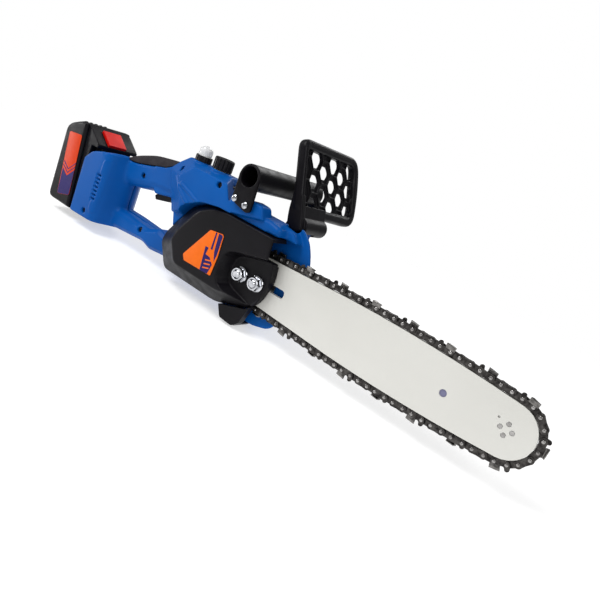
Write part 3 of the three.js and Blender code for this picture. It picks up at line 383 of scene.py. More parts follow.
# Painted shade: a blue-grey ink for the disc in the bar's recess, where the hole shows only shadow.
HOLE_SHADE = print_ink("painted_hole_shade", (0.16, 0.16, 0.26), (0.20, 0.20, 0.32))
CUTTER_STEEL = cutter_steel()
RIVET_STEEL = rivet_steel()
DARK_STEEL = dark_steel()
LOOKS = {
    "blue_plastic": blue_plastic(),
    "black_plastic": black_plastic(),
    "grip_rubber": grip_rubber(),
    "steel": steel(),
    "bar_paint": bar_paint(),
    "chrome": chrome(),
    "motor_copper": motor_copper(),
    "aluminium": aluminium(),
    "red_plastic": red_plastic(),
    "label_print": ORANGE_INK,
    "clear_plastic": clear_plastic(),
    "tank_plastic": tank_plastic(),
    "circuit_board": circuit_board(),
    "cell_wrap": cell_wrap(),
}
SLOT_OF = {part["node"]: part["material_slot"] for part in frame["record"]["subparts"]}

# ---------------------------------------------------------------- outlines


def outline(points, steps=6):
    """A closed outline from (u, v, corner radius) points."""
    loop = []
    for index, (u, v, *rounding) in enumerate(points):
        corner = Vector((u, v))
        before = Vector(points[index - 1][:2]) - corner
        after = Vector(points[(index + 1) % len(points)][:2]) - corner
        wanted = rounding[0] if rounding else 0.0
        reach = min(wanted, 0.48 * before.length, 0.48 * after.length)
        if reach == 0:
            loop.append(corner)
            continue
        start = corner + before.normalized() * reach
        end = corner + after.normalized() * reach
        loop += bend(start, corner, end, steps)
    return loop


def bend(start, control, end, steps):
    """Points along a quadratic curve from start to end, pulled towards control."""
    shares = [step / steps for step in range(steps + 1)]
    return [start * (1 - t) ** 2 + control * 2 * t * (1 - t) + end * t * t for t in shares]


def arc(u, v, radius, start, end, steps):
    """Points along part of a circle, from the angle start to the angle end."""
    angles = [start + (end - start) * step / steps for step in range(steps + 1)]
    return [Vector((u + radius * math.cos(a), v + radius * math.sin(a))) for a in angles]


def ring(u, v, radius, steps=32):
    return arc(u, v, radius, 0, 2 * math.pi, steps)[:-1]


# ---------------------------------------------------------------- solids


def joined(solids):
    whole = bmesh.new()
    for solid in solids:
        mesh = bpy.data.meshes.new("work")
        solid.to_mesh(mesh)
        solid.free()
        whole.from_mesh(mesh)
        bpy.data.meshes.remove(mesh)
    return whole


def moved(solid, matrix):
    solid.transform(matrix)
    return solid


def shifted(solid, x=0, y=0, z=0):
    return moved(solid, Matrix.Translation((x, y, z)))


def plate(loops, low, high, rounding=0.0, steps=2):
    """A flat piece between w = low and high; loops are closed outlines, the first outside, the rest holes."""
    curve = bpy.data.curves.new("plate", "CURVE")
    curve.dimensions = "2D"
    curve.fill_mode = "BOTH"
    for loop in loops:
        spline = curve.splines.new("POLY")
        spline.points.add(len(loop) - 1)
        for point, place in zip(spline.points, loop):
            point.co = (place[0], place[1], 0, 1)
        spline.use_cyclic_u = True
    curve.extrude = (high - low) / 2 - rounding
    curve.bevel_depth = rounding
    curve.bevel_resolution = steps
    curve.offset = -rounding
    holder = bpy.data.objects.new("plate", curve)
    mesh = bpy.data.meshes.new_from_object(holder)
    solid = bmesh.new()
    solid.from_mesh(mesh)
    bpy.data.objects.remove(holder)
    bpy.data.curves.remove(curve)
    bpy.data.meshes.remove(mesh)
    bmesh.ops.remove_doubles(solid, verts=solid.verts, dist=0.002)
    return shifted(solid, z=(low + high) / 2)


def lathe(profile, sides=48, shape=None):
    """A solid turned about the w axis from (radius, w) points; shape(radius, w, angle) may change a radius."""
    solid = bmesh.new()
    rings = []
    for radius, height in profile:
        if radius == 0:
            rings.append([solid.verts.new((0, 0, height))] * sides)
            continue
        circle = []
        for side in range(sides):
            angle = 2 * math.pi * side / sides
            reach = shape(radius, height, angle) if shape else radius
            circle.append(solid.verts.new((reach * math.cos(angle), reach * math.sin(angle), height)))
        rings.append(circle)
    if profile[0][0] > 0:
        rings.append(rings[0])
    for low, high in zip(rings, rings[1:]):
        for side in range(sides):
            after = (side + 1) % sides
            corners = [low[side], low[after], high[after], high[side]]
            distinct = list(dict.fromkeys(corners))
            solid.faces.new(distinct)
    return solid


def worked(solid, *modifiers):
    """The solid after Blender modifiers, each given as (kind, settings)."""
    mesh = bpy.data.meshes.new("work")
    solid.to_mesh(mesh)
    solid.free()
    holder = bpy.data.objects.new("work", mesh)
    bpy.context.collection.objects.link(holder)
    for kind, settings in modifiers:
        modifier = holder.modifiers.new(kind, kind)
        for key, value in settings.items():
            setattr(modifier, key, value)
    done = bmesh.new()
    done.from_mesh(holder.evaluated_get(bpy.context.evaluated_depsgraph_get()).to_mesh())
    bpy.data.objects.remove(holder)
    bpy.data.meshes.remove(mesh)
    return done


def cut(solid, *tools):
    mesh = bpy.data.meshes.new("tool")
    whole = joined(tools)
    bmesh.ops.recalc_face_normals(whole, faces=whole.faces)
    whole.to_mesh(mesh)
    whole.free()
    tool = bpy.data.objects.new("tool", mesh)
    bpy.context.collection.objects.link(tool)
    bmesh.ops.recalc_face_normals(solid, faces=solid.faces)
    done = worked(solid, ("BOOLEAN", {"operation": "DIFFERENCE", "object": tool, "solver": "EXACT"}))
    bpy.data.objects.remove(tool)
    bpy.data.meshes.remove(mesh)
    return done


def moulded(solids, voxel, passes, share=1.0):
    """Solids fused into one skin, with every edge rounded by passes of smoothing."""
    whole = joined(solids)
    bmesh.ops.recalc_face_normals(whole, faces=whole.faces)
    modifiers = [
        ("REMESH", {"mode": "VOXEL", "voxel_size": voxel}),
        ("SMOOTH", {"factor": 0.5, "iterations": passes}),
    ]
    if share < 1:
        modifiers.append(("DECIMATE", {"ratio": share}))
    return worked(whole, *modifiers)


def cad_solid(node):
    """A CAD node's shape in the saw's own millimetres."""
    solid = bmesh.new()
    solid.from_mesh(frame["nodes"][node].data)
    solid.transform(Matrix.Scale(1 / MM, 4) @ Matrix.Translation(-AXIS))
    bmesh.ops.remove_doubles(solid, verts=solid.verts, dist=0.001)
    return solid


def raised(solid, start, end, half_width, height, flat=0.0):
    """Swells the right-hand skin, or sinks it, along a line in the side view from start to end as (x, z)."""
    a, b = Vector(start), Vector(end)
    along = b - a
    solid.normal_update()
    for vertex in solid.verts:
        if vertex.normal.y > -0.25:
            continue
        place = Vector((vertex.co.x, vertex.co.z))
        share = max(0.0, min(1.0, (place - a).dot(along) / along.length_squared))
        distance = (place - a - along * share).length / half_width
        if distance < 1:
            falloff = min(1.0, (1 - distance) / (1 - flat))
            vertex.co.y -= height * falloff * falloff * (3 - 2 * falloff)


def piece(name, solid, body, slot, nodes, look=None, sharp=32):
    """Finishes a solid as a visible piece that rides on a body and stands for CAD nodes."""
    bmesh.ops.recalc_face_normals(solid, faces=solid.faces)
    solid.transform(Matrix.Translation(AXIS) @ Matrix.Scale(MM, 4))
    mesh = bpy.data.meshes.new(name)
    solid.to_mesh(mesh)
    solid.free()
    mesh.shade_smooth()
    mesh.set_sharp_from_angle(angle=math.radians(sharp))
    mesh.materials.append(look or LOOKS[slot])
    shown = bpy.data.objects.new(name, mesh)
    bpy.context.collection.objects.link(shown)
    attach(shown, body)
    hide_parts(*nodes)
    return shown


# ---------------------------------------------------------------- saw chain


def rivet_line():
    """The closed line the chain's rivets follow: sprocket, top run, nose, bottom run."""

    def departure(half, side):
        reach = math.hypot(BAR_ENTRY[0], half)
        return side * (math.atan2(half, BAR_ENTRY[0]) + math.acos(DRIVE_PITCH_RADIUS / reach))

    entry, entry_half = BAR_ENTRY
    shoulder, half = BAR_SHOULDER
    top = departure(entry_half, 1)
    bottom = departure(entry_half, -1)
    nose_u = NOSE.x + NOSE_PITCH_RADIUS * math.cos(NOSE_START)
    nose_v = NOSE_PITCH_RADIUS * math.sin(NOSE_START)
    bend_u = (shoulder + nose_u) / 2
    bulge = half + BAR_BULGE
    line = arc(0, 0, DRIVE_PITCH_RADIUS, bottom, top - 2 * math.pi, 60)
    top_run = [Vector((shoulder, half)), Vector((bend_u, bulge)), Vector((nose_u, NOSE.z + nose_v))]
    bottom_run = [Vector((nose_u, NOSE.z - nose_v)), Vector((bend_u, -bulge)), Vector((shoulder, -half))]
    line += [Vector((entry, entry_half))]
    line += bend(*top_run, 40)
    line += arc(NOSE.x, NOSE.z, NOSE_PITCH_RADIUS, NOSE_START, -NOSE_START, 60)
    line += bend(*bottom_run, 40)
    line += [Vector((entry, -entry_half)), line[0]]
    return line


def chain_joints():
    """The rivets' places, with the direction of the link that starts at each."""
    line = np.array([tuple(point) for point in rivet_line()])
    lengths = np.concatenate([[0], np.cumsum(np.hypot(*np.diff(line, axis=0).T))])
    steps = [DRIVE_SPACING, TIE_SPACING] * DRIVE_LINKS
    travelled = np.concatenate([[0], np.cumsum(steps)]) * lengths[-1] / sum(steps)
    us = np.interp(travelled, lengths, line[:, 0])
    vs = np.interp(travelled, lengths, line[:, 1])
    places = [Vector(place) for place in zip(us, vs)]
    return list(zip(places, places[1:]))


def link_matrix(here, there):
    """Turns a link drawn with u along the chain and v away from the bar to its place."""
    along = there - here
    half_way = (here + there) / 2
    turn = Matrix.Rotation(-math.atan2(along.y, along.x), 4, "Y")
    return Matrix.Translation((half_way.x, 0, half_way.y)) @ turn


def bone(half_length, end_radius, waist):
    """A strap's outline: two round ends joined by a slimmer waist."""
    half_turn = 1.9
    right = arc(half_length, 0, end_radius, -half_turn, half_turn, 14)
    left = arc(-half_length, 0, end_radius, math.pi - half_turn, math.pi + half_turn, 14)
    return right + [Vector((0, waist))] + left + [Vector((0, -waist))]


def tie_strap(side):
    """A plain strap on the left (side 1) or the right (side -1) of the chain."""
    inner, outer = STRAP_FACES
    strap = plate([bone(TIE_SPACING / 2, 3.4, 2.9)], inner, outer, 0.25)
    return moved(moved(strap, SIDE), Matrix.Scale(side, 4, (0, 1, 0)))


def drive_link(tang):
    """A drive link, with or without the tang that rides in the bar's groove."""
    points = [(-7, 0, 3), (-6, 2.9, 2), (6, 2.9, 2), (7, 0, 3), (5.6, -3.6, 1.5)]
    if tang:
        points += [(2.6, -4.4, 1.5), (0.4, -8.2, 0.8), (-1.6, -8.2, 0.8), (-3.6, -4.6, 1.5)]
    points += [(-5.6, -3.6, 1.5)]
    return moved(plate([outline(points, 3)], -0.62, 0.62, 0.12, 1), SIDE)


def cutter_base(side):
    """A cutter's strap with its depth gauge and the gullet behind it."""
    inner, outer = STRAP_FACES
    depth_gauge = [(-8.2, 0, 2.5), (-7.8, 4.8, 1.2), (-5.6, 5.8, 1.2), (-4.1, 5.2, 1.2)]
    gullet = [(-3.3, 2.2, 1.8), (-0.9, 1.6, 1.4), (0.2, 3.6, 0.8), (7.6, 3.4, 0.8)]
    underside = [(8.2, 0, 2.5), (6.2, -3.5, 2), (0, -2.9, 3), (-6.2, -3.5, 2)]
    strap = plate([outline(depth_gauge + gullet + underside, 4)], inner, outer, 0.25)
    return moved(moved(strap, SIDE), Matrix.Scale(side, 4, (0, 1, 0)))


def cutter_tooth(side):
    """The chisel: a side plate that leans out and a top plate over it, both falling away to the back."""
    root, outermost = 1.6, 3.25
    side_plate = [(2.7, 6.5), (outermost, 6.0), (2.9, 4.0), (2.15, root)]
    section = [(0.75, root), (1.5, 5.0), (-0.4, 5.4), (-0.4, 6.3), *side_plate]
    solid = bmesh.new()
    rows = []
    for u, fall, narrow in ((-0.9, 0.0, 0.0), (3.5, 0.35, 0.15), (8.1, 0.9, 0.4)):
        row = []
        for y, z in section:
            slant = 0.5 * (outermost - y) if u < 0 else 0.0
            low = fall * (z - root) / 5.0
            row.append(solid.verts.new((u + slant, side * (y - narrow * (y > 2.2)), z - low)))
        rows.append(row)
    for near, far in zip(rows, rows[1:]):
        for index in range(len(section)):
            after = (index + 1) % len(section)
            solid.faces.new((near[index], near[after], far[after], far[index]))
    solid.faces.new(rows[0])
    solid.faces.new(rows[-1][::-1])
    edges = solid.edges
    bmesh.ops.bevel(solid, geom=edges, offset=0.12, segments=1, affect="EDGES", clamp_overlap=True)
    return solid


def rivet():
    """A rivet through both straps, with a domed head at each end."""
    reach = STRAP_FACES[1]
    flat, crown = 0.77 * RIVET_RADIUS, 0.4 * RIVET_RADIUS
    side = [(RIVET_RADIUS, reach - 0.1), (RIVET_RADIUS, reach + 0.15)]
    head = [*side, (flat, reach + 0.38), (crown, reach + 0.48)]
    lower = [(radius, -height) for radius, height in reversed(head)]
    return moved(lathe([(0, -reach - 0.5), *lower, *head, (0, reach + 0.5)], 20), SIDE)


def saw_chain():
    """Tie straps and drive links in turn; every second tie strap carries a cutter, left and right in turn."""
    ties, drives, teeth, rivets = [], [], [], []
    for number, (here, there) in enumerate(chain_joints()):
        place = link_matrix(here, there)
        rivets.append(shifted(rivet(), here.x, 0, here.y))
        if number % 2 == 0:
            half_way = (here + there) / 2
            on_nose = (half_way - Vector((NOSE.x, NOSE.z))).length < NOSE_PITCH_RADIUS + 4
            on_sprocket = half_way.length < DRIVE_PITCH_RADIUS + 6
            drives.append(moved(drive_link(not (on_nose or on_sprocket)), place))
        elif number % 4 == 3:
            side = -1 if number % 8 == 3 else 1
            ties += [moved(cutter_base(side), place), moved(tie_strap(-side), place)]
            teeth.append(moved(cutter_tooth(side), place))
        else:
            ties += [moved(tie_strap(1), place), moved(tie_strap(-1), place)]
    piece("chain_tie_straps", joined(ties), "bar", "steel", ["saw_chain"], CHAIN_STEEL)
    piece("chain_drive_links", joined(drives), "bar", "steel", ["saw_chain"], CHAIN_STEEL)
    piece("chain_cutters", joined(teeth), "bar", "steel", ["saw_chain"], CUTTER_STEEL)
    piece("chain_rivets", joined(rivets), "bar", "steel", ["saw_chain"], RIVET_STEEL)


# ---------------------------------------------------------------- bar


def guide_bar():
    """The bar, with a blue-grey disc on the floor of the round recess near its nose: painted shade, standing
    for the shadow seen through the hole.
    """
    fine_copy("guide_bar", "bar")
    front, back = BAR_RECESS_FLOOR - INK, BAR_RECESS_FLOOR
    rim = BAR_RECESS_RADIUS
    disc = moved(lathe([(0, front), (rim - 0.1, front), (rim, back), (0, back)], 40), SIDE)
    x, z = BAR_RECESS
    # This disc is painted shade, not part of the bar's own finish.
    piece("bar_recess_painted_shade", shifted(disc, x, 0, z), "bar", "bar_paint", ["guide_bar"], HOLE_SHADE)


# ---------------------------------------------------------------- bar nuts and studs


def hexagonal(across_corners, low, high):
    """A lathe shape for a nut: six flats, with the corners turned off towards both faces."""

    def shape(radius, height, angle):
        turn = (angle % (math.pi / 3)) - math.pi / 6
        flat = across_corners * math.cos(math.pi / 6) / math.cos(turn)
        return min(radius, flat) if low <= height <= high else radius

    return shape


def bar_nut(name, node, body):
    """A flanged nut. Its hexagon has chamfered corners and its flange a rounded rim."""
    place = centre(node)
    low, high = span(node)
    front, back = low.y, high.y
    flange_top = back - 2.0
    chamfer_start = front + 1.4
    steps = 6
    profile = [
        (NUT_BORE, back), (7.6, back), (8.4, back - 0.4), (NUT_FLANGE, back - 1.0), (8.1, back - 1.6),
        (7.55, flange_top),
    ]
    for step in range(steps + 1):
        profile.append((NUT_CORNER, flange_top + (chamfer_start - flange_top) * step / steps))
    for step in range(1, 5):
        profile.append((NUT_CORNER - 0.32 * step, chamfer_start - 0.35 * step))
    profile += [(5.0, front), (NUT_BORE, front + 0.7)]
    solid = moved(lathe(profile, 96, hexagonal(NUT_CORNER, front - 0.1, back - 1.9)), SIDE)
    piece(name, shifted(solid, place.x, 0, place.z), body, "chrome", [node], sharp=24)


def threaded_stud(name, node):
    """A stud with a rolled thread and a chamfered end."""
    place = centre(node)
    low, high = span(node)
    crest, root = 3.95, 3.4
    profile = [(0, low.y), (3.0, low.y), (3.6, low.y + 0.7)]
    turns = int((high.y - low.y - 2) / THREAD_PITCH)
    for turn in range(turns):
        y = low.y + 1.0 + turn * THREAD_PITCH
        profile += [(crest, y), (crest, y + 0.2), (root, y + 0.65), (root, y + 0.8)]
    profile += [(3.9, high.y - 0.4), (root, high.y), (0, high.y)]
    solid = moved(lathe(profile, 40), SIDE)
    piece(name, shifted(solid, place.x, 0, place.z), "housing", "chrome", [node])


# ---------------------------------------------------------------- labels


def label_film(node, points):
    """The film under a label's ink, with softened edges."""
    low, high = span(node)
    return moved(plate([outline(points)], low.y + INK, high.y, 0.05, 1), SIDE)


def printed(loops, front):
    """Blocks of ink with their faces at y = front."""
    return joined([moved(plate([outline(loop)], front, front + INK), SIDE) for loop in loops])


# ---------------------------------------------------------------- cover


def sprocket_cover():
    """The cover's shell, with its edges rounded as moulded plastic has them."""
    skin = moulded([cad_solid("sprocket_cover")], 0.55, 16)
    piece("cover_shell", skin, "cover", "black_plastic", ["sprocket_cover"], sharp=180)


def cover_label():
    """A printed film: orange, with purple blocks along its right-hand edge and orange stripes over one."""
    low, _ = span("cover_label")
    edge = [(22.5, 27, 1), (41, 29.4, 3), (43, 6, 1), (42, -15.5, 1), (2, -16.5, 1), (-2, -11, 2)]
    film = label_film("cover_label", edge)
    piece("cover_label_film", film, "cover", "label_print", ["cover_label"], ORANGE_INK)
    blocks = [
        [(34.5, 28.0, 0.5), (40.4, 28.3, 2.5), (41.4, 6.5, 0.8), (40.2, -0.5), (36.6, 9)],
        [(30.4, 27.8), (32.2, 27.9), (33.6, 9.5), (31.0, 9.5)],
        [(23.5, 9.5), (28.0, 9.5), (27.2, 2.0), (33.5, 1.4), (39.6, -4.5), (37.5, -15.4, 0.6), (26.6, -16.2)],
    ]
    ink = printed(blocks, low.y + 0.02)
    piece("cover_label_blocks", ink, "cover", "label_print", ["cover_label"], PURPLE_INK)
    rises = [-12.6 + 4.2 * row for row in range(3)]
    stripes = [[(29.0, v), (37.0, v + 2.2), (37.2, v + 3.6), (29.0, v + 1.4)] for v in rises]
    piece("cover_label_stripes", printed(stripes, low.y), "cover", "label_print", ["cover_label"], ORANGE_INK)


# ---------------------------------------------------------------- housing


def softened(solid, low, high, passes):
    """Smooths the skin inside a box, away from the screw recesses, so that shapes flow into each other."""
    recesses = [centre(f"housing_screw_{number}") for number in range(1, 6)]
    inside = []
    for vertex in solid.verts:
        place = vertex.co
        if not all(a < value < b for a, value, b in zip(low, place, high)):
            continue
        if min(math.hypot(place.x - screw.x, place.z - screw.z) for screw in recesses) > 7.5:
            inside.append(vertex)
    axes = {"use_axis_x": True, "use_axis_y": True, "use_axis_z": True}
    for _ in range(passes):
        bmesh.ops.smooth_vert(solid, verts=inside, factor=0.5, **axes)


def air_vents(solid):
    """A low strip down the dock's right side, with short, shallow slots beside it."""
    raised(solid, (-167.5, 30), (-170.5, -28), 6.5, 0.7, 0.6)
    column, lowest, pitch = -174.4, -16, 5
    for row in range(7):
        height = lowest + pitch * row
        raised(solid, (column - 3, height), (column + 3, height), 1.4, -1.6, 0.4)


def housing():
    """Both halves, with two ridges on the right of the hump, and the rubber pad on the grip."""
    dock = ((-178, -30, -30), (-112, 18, 60))
    front_shoulder = ((82, -30, 45), (118, 4, 66))
    right = moulded([cad_solid("housing_right")], 0.7, 14)
    softened(right, *dock, 60)
    softened(right, *front_shoulder, 40)
    raised(right, (-55, 57), (-20, 36), 3.4, 1.6)
    raised(right, (-39, 54), (-5, 43), 3.0, 1.4)
    air_vents(right)
    piece("housing_right_shell", right, "housing", "blue_plastic", ["housing_right"], sharp=180)
    left = moulded([cad_solid("housing_left")], 0.8, 12)
    piece("housing_left_shell", left, "housing", "blue_plastic", ["housing_left"], sharp=180)
    pad = moulded([cad_solid("grip_pad")], 0.45, 8)
    piece("grip_pad_skin", pad, "housing", "grip_rubber", ["grip_pad"], sharp=180)


def crossed_screw(profile, face, out):
    """A turned screw with a crossed recess sunk into its face; out is 1 or -1, the way the face looks."""
    depth = 1.2
    long_half, short_half = 1.8, 0.36
    near, far = sorted((face + out, face - out * depth))
    screw = lathe(profile, 32)
    for half_u, half_v in ((long_half, short_half), (short_half, long_half)):
        corners = [(-half_u, -half_v), (half_u, -half_v), (half_u, half_v), (-half_u, half_v)]
        screw = cut(screw, plate([outline(corners)], near, far))
    return moved(screw, SIDE)


def housing_screws():
    for number in range(1, 6):
        node = f"housing_screw_{number}"
        low, high = span(node)
        place = centre(node)
        front = low.y
        shank = 1.7
        profile = [
            (0, front), (1.2, front + 0.05), (2.2, front + 0.35), (2.8, front + 0.95),
            (SCREW_HEAD, front + 1.5), (SCREW_HEAD, front + 3.0), (shank, front + 3.1),
            (shank, high.y - 1), (0, high.y),
        ]
        solid = shifted(crossed_screw(profile, front, -1), place.x, 0, place.z)
        piece(f"{node}_fine", solid, "housing", "steel", [node], DARK_STEEL)


# ---------------------------------------------------------------- front handle and guard


def front_handle():
    """An open tube between a small flange on the right and a long leg on the left, moulded in one."""
    low, high = span("front_handle")
    u, v = TUBE_MIDDLE
    tube = lathe([
        (TUBE_INNER, low.y), (TUBE_INNER + 0.4, low.y), (TUBE_OUTER - 0.9, low.y), (TUBE_OUTER, low.y + 0.9),
        (TUBE_OUTER, high.y - 0.8), (TUBE_OUTER - 0.8, high.y), (TUBE_INNER, high.y),
    ], 96)
    bore = ring(u, v, TUBE_INNER, 48)
    crown = [(59.2, 93), (56, 101, 6), (46.5, 105, 6), (37, 101, 6)]
    near = [(33.8, 93), (35, 65, 3), (57, 59.5, 3), (62, 62, 3), *crown]
    near_holes = [ring(39, 68, HANDLE_SCREW_HOLE, 20), ring(54, 66, HANDLE_SCREW_HOLE, 20)]
    near_flange = plate([outline(near), bore, *near_holes], low.y, low.y + 3.4, 0.5)
    far = [(33.8, 93), (20, 12, 6), (20, 0, 6), (46, 0, 6), (46, 12, 6), *crown]
    far_leg = plate([outline(far), bore, ring(33, 8, HANDLE_SCREW_HOLE, 20)], high.y - 3, high.y, 0.5)
    solids = [shifted(moved(tube, SIDE), u, 0, v), moved(near_flange, SIDE), moved(far_leg, SIDE)]
    skin = moulded(solids, 0.5, 4, 0.6)
    piece("front_handle_skin", skin, "housing", "black_plastic", ["front_handle"], sharp=50)


def handle_screws():
    """Round-headed screws: two in the near flange, driven from the right, and one from the left in the leg."""
    for number in (1, 2, 3):
        node = f"handle_screw_{number}"
        low, high = span(node)
        place = centre(node)
        out = 1 if number == 3 else -1
        face, tip = (high.y, low.y) if out > 0 else (low.y, high.y)
        dome = [(0, 0), (1.4, 0.08), (2.6, 0.5), (3.4, 1.2), (3.6, 1.9), (1.8, 1.9)]
        profile = [(radius, face - out * depth) for radius, depth in dome]
        profile += [(1.8, tip + out), (0, tip)]
        solid = shifted(crossed_screw(profile, face, out), place.x, 0, place.z)
        piece(f"{node}_fine", solid, "housing", "chrome", [node])


def clipped(loop, low_u, high_u, low_v, high_v):
    """The part of a convex outline inside a box."""
    for axis, limit, sign in ((0, low_u, 1), (0, high_u, -1), (1, low_v, 1), (1, high_v, -1)):
        kept = []
        for index, here in enumerate(loop):
            before = loop[index - 1]
            inside = sign * (here[axis] - limit) >= 0
            was_inside = sign * (before[axis] - limit) >= 0
            if inside != was_inside:
                share = (limit - before[axis]) / (here[axis] - before[axis])
                kept.append(before.lerp(here, share))
            if inside:
                kept.append(here)
        loop = kept
    return loop


def loop_area(loop):
    return abs(sum(a.x * b.y - b.x * a.y for a, b in zip(loop, loop[1:] + loop[:1]))) / 2


def cell_places(columns):
    """Column number, row number and centre of each cell; every other column stands half a cell lower."""
    for column in range(-columns, columns + 1):
        lowest = LOWEST_CELL + (0 if column % 2 else CELL_ROW / 2)
        for row in range(4):
            yield column, row, GUARD_MIDDLE + column * CELL_COLUMN, lowest + row * CELL_ROW


def hexagon(u, v, half_width, half_height, rounding):
    """A six-sided outline clipped to the guard's window, or nothing where too little is left."""
    slant = half_width / 2
    corners = [
        (u - half_width, v), (u - slant, v - half_height), (u + slant, v - half_height),
        (u + half_width, v), (u + slant, v + half_height), (u - slant, v + half_height),
    ]
    loop = clipped([Vector(corner) for corner in corners], *GUARD_WINDOW)
    if len(loop) < 3 or loop_area(loop) < SMALLEST_CELL_AREA:
        return []
    return [outline([(point.x, point.y, rounding) for point in loop], 4)]


def guard_cells():
    """The wide, shallow cells in the guard's front, with thin ribs between them."""
    rib = 1.6
    half_width = CELL_COLUMN * 2 / 3 - rib / 2
    half_height = (CELL_ROW - rib) / 2
    loops = []
    for _, _, u, v in cell_places(3):
        loops += hexagon(u, v, half_width, half_height, 0.8)
    return loops


def guard_holes():
    """The holes through the cells' floors, larger along the top."""
    loops = []
    for column, row, u, v in cell_places(2):
        if row == 3 or (column % 2 and row == 0):
            continue
        is_top = column % 2 == 0 and row == 2
        loops += hexagon(u, v, 11.2, 9.0, 3.0) if is_top else hexagon(u, v, 9.6, 6.6, 3.0)
    return loops


def guard_panel():
    """A rounded rim round a sheet with cells sunk into its front and smaller holes through their floors."""
    rim = outline([(3, 11, 10), (120, 7, 18), (124, 50, 40), (118, 85.8, 18), (3, 85.8, 11)], 12)
    window = outline([(10, 20, 5), (113, 18, 12), (110, 76, 8), (10, 76, 5)], 8)
    sheet = outline([(8, 18), (115, 16), (112, 78), (8, 78)])
    solids = [
        plate([rim, window], -5.5, 5.4, 3.6, 5),
        plate([sheet, *guard_holes()], -1.8, 0.5, 0.4),
        plate([sheet, *guard_cells()], 0.3, 3.0),
    ]
    return [moved(solid, FRONT) for solid in solids]


def hand_guard():
    """The panel, its arm on the right, and a hub that is hollow for the housing's lug and open below it."""
    pivot = centre("guard_pin")
    arm_side = [(-11, 2, 4), (-2, -6.5, 5), (6.5, -5, 4), (5.5, 30), (-5.5, 34), (-10, 16, 8)]
    start, end = HUB
    hub_profile = [
        (0, start), (HUB_RADIUS, start), (HUB_RADIUS, end - 1.2), (9.1, end - 0.4), (8.2, end), (0, end),
    ]
    solids = [
        plate([outline(arm_side)], 4, 11.5, 1.2),
        lathe(hub_profile, 64),
        plate([[(-5.5, 0), (5.5, 0), (5.5, 20), (-5.5, 20)]], start, end, 1.2),
    ]
    skin = moulded([*guard_panel(), *(moved(solid, SIDE) for solid in solids)], 0.6, 5)
    right_wall, left_wall = LUG_ROOM
    pin_bore = lathe([(0, 6.2), (2.9, 6.2), (2.9, 80), (0, 80)], 32)
    cavity = lathe([(0, right_wall), (7.4, right_wall), (7.4, left_wall), (0, left_wall)], 48)
    neck_opening = plate([[(0, 0), (9, -13), (0, -18), (-13, -9)]], right_wall, left_wall)
    for tool in (pin_bore, cavity, neck_opening):
        skin = cut(skin, moved(tool, SIDE))
    lean = Matrix.Translation((pivot.x, 0, pivot.z)) @ Matrix.Rotation(-GUARD_LEAN, 4, "Y")
    piece("hand_guard_skin", moved(skin, lean), "guard", "black_plastic", ["hand_guard"], sharp=50)


# ---------------------------------------------------------------- oil cap and primer


def oil_cap():
    """A cap with knurled sides and a shallow dished top."""
    place = centre("oil_cap")
    low, high = span("oil_cap")
    ribs = 15

    def knurl(radius, height, angle):
        if radius < 10 or height > high.z - 1.2:
            return radius
        return radius - 0.9 * max(0.0, math.cos(ribs * angle)) ** 2

    roof, dish = high.z - 3.3, high.z - 0.7
    profile = [
        (0, roof), (9.1, roof), (9.1, low.z), (CAP_RADIUS, low.z), (CAP_RADIUS, high.z - 1.3),
        (10.4, high.z - 0.5), (9.6, high.z), (8.2, high.z), (7.6, dish), (0, dish),
    ]
    solid = shifted(lathe(profile, 192, knurl), place.x, place.y, 0)
    piece("oil_cap_body", solid, "cap", "black_plastic", ["oil_cap"])


def primer_bulb():
    """A hollow clear dome on a straight neck."""
    place = centre("primer_bulb")
    low, high = span("primer_bulb")
    wall = 0.9
    neck_top = low.z + 6.5
    steps = 12
    outside = [(BULB_RADIUS, low.z), (BULB_RADIUS, neck_top)]
    for step in range(1, steps):
        angle = math.pi / 2 * step / steps
        outside.append((BULB_RADIUS * math.cos(angle), neck_top + (high.z - neck_top) * math.sin(angle)))
    inside = []
    for radius, height in outside:
        if radius > 1.5:
            inside.append((radius - wall, height - (wall if height > neck_top + 0.5 else 0)))
    profile = [(0, high.z - wall), *reversed(inside), *outside, (0, high.z)]
    solid = shifted(lathe(profile, 64), place.x, place.y, 0)
    piece("primer_bulb_skin", solid, "bulb", "clear_plastic", ["primer_bulb"], sharp=60)


def primer_collar():
    """A ring round the bulb, with shallow flutes in its rim."""
    place = centre("primer_bulb")
    low, high = span("primer_collar")
    flutes = 12

    def fluted(radius, height, angle):
        in_flute = radius > 9 and math.cos(flutes * angle) > 0.3
        return radius - 0.25 if in_flute else radius

    profile = [
        (8.0, low.z), (COLLAR_RADIUS, low.z), (COLLAR_RADIUS, high.z - 0.8), (8.8, high.z - 0.1),
        (8.4, high.z), (8.0, high.z - 0.3),
    ]
    solid = shifted(lathe(profile, 96, fluted), place.x, place.y, 0)
    piece("primer_collar_ring", solid, "housing", "black_plastic", ["primer_collar"])


# ---------------------------------------------------------------- battery


def battery():
    """The case with five grip ridges over its rear edge, the top with its rails, and the release button."""
    ridge_side = outline([(-261.6, 42, 2), (-261.8, 49.5, 4), (-255.5, 56.8, 3), (-237, 63.6, 1), (-237, 58)])
    ridges = []
    for number in range(5):
        y = -13.0 + 7.0 * number
        ridges.append(moved(plate([ridge_side], y, y + 3.4), SIDE))
    case = moulded([cad_solid("battery_case"), *ridges], 0.6, 8)
    piece("battery_case_skin", case, "pack", "black_plastic", ["battery_case"], sharp=180)
    top = moulded([cad_solid("battery_top")], 0.5, 8)
    piece("battery_top_skin", top, "pack", "black_plastic", ["battery_top"], sharp=180)
    button = moulded([cad_solid("battery_button")], 0.3, 14)
    piece("battery_button_cap", button, "pack_button", "red_plastic", ["battery_button"], sharp=180)


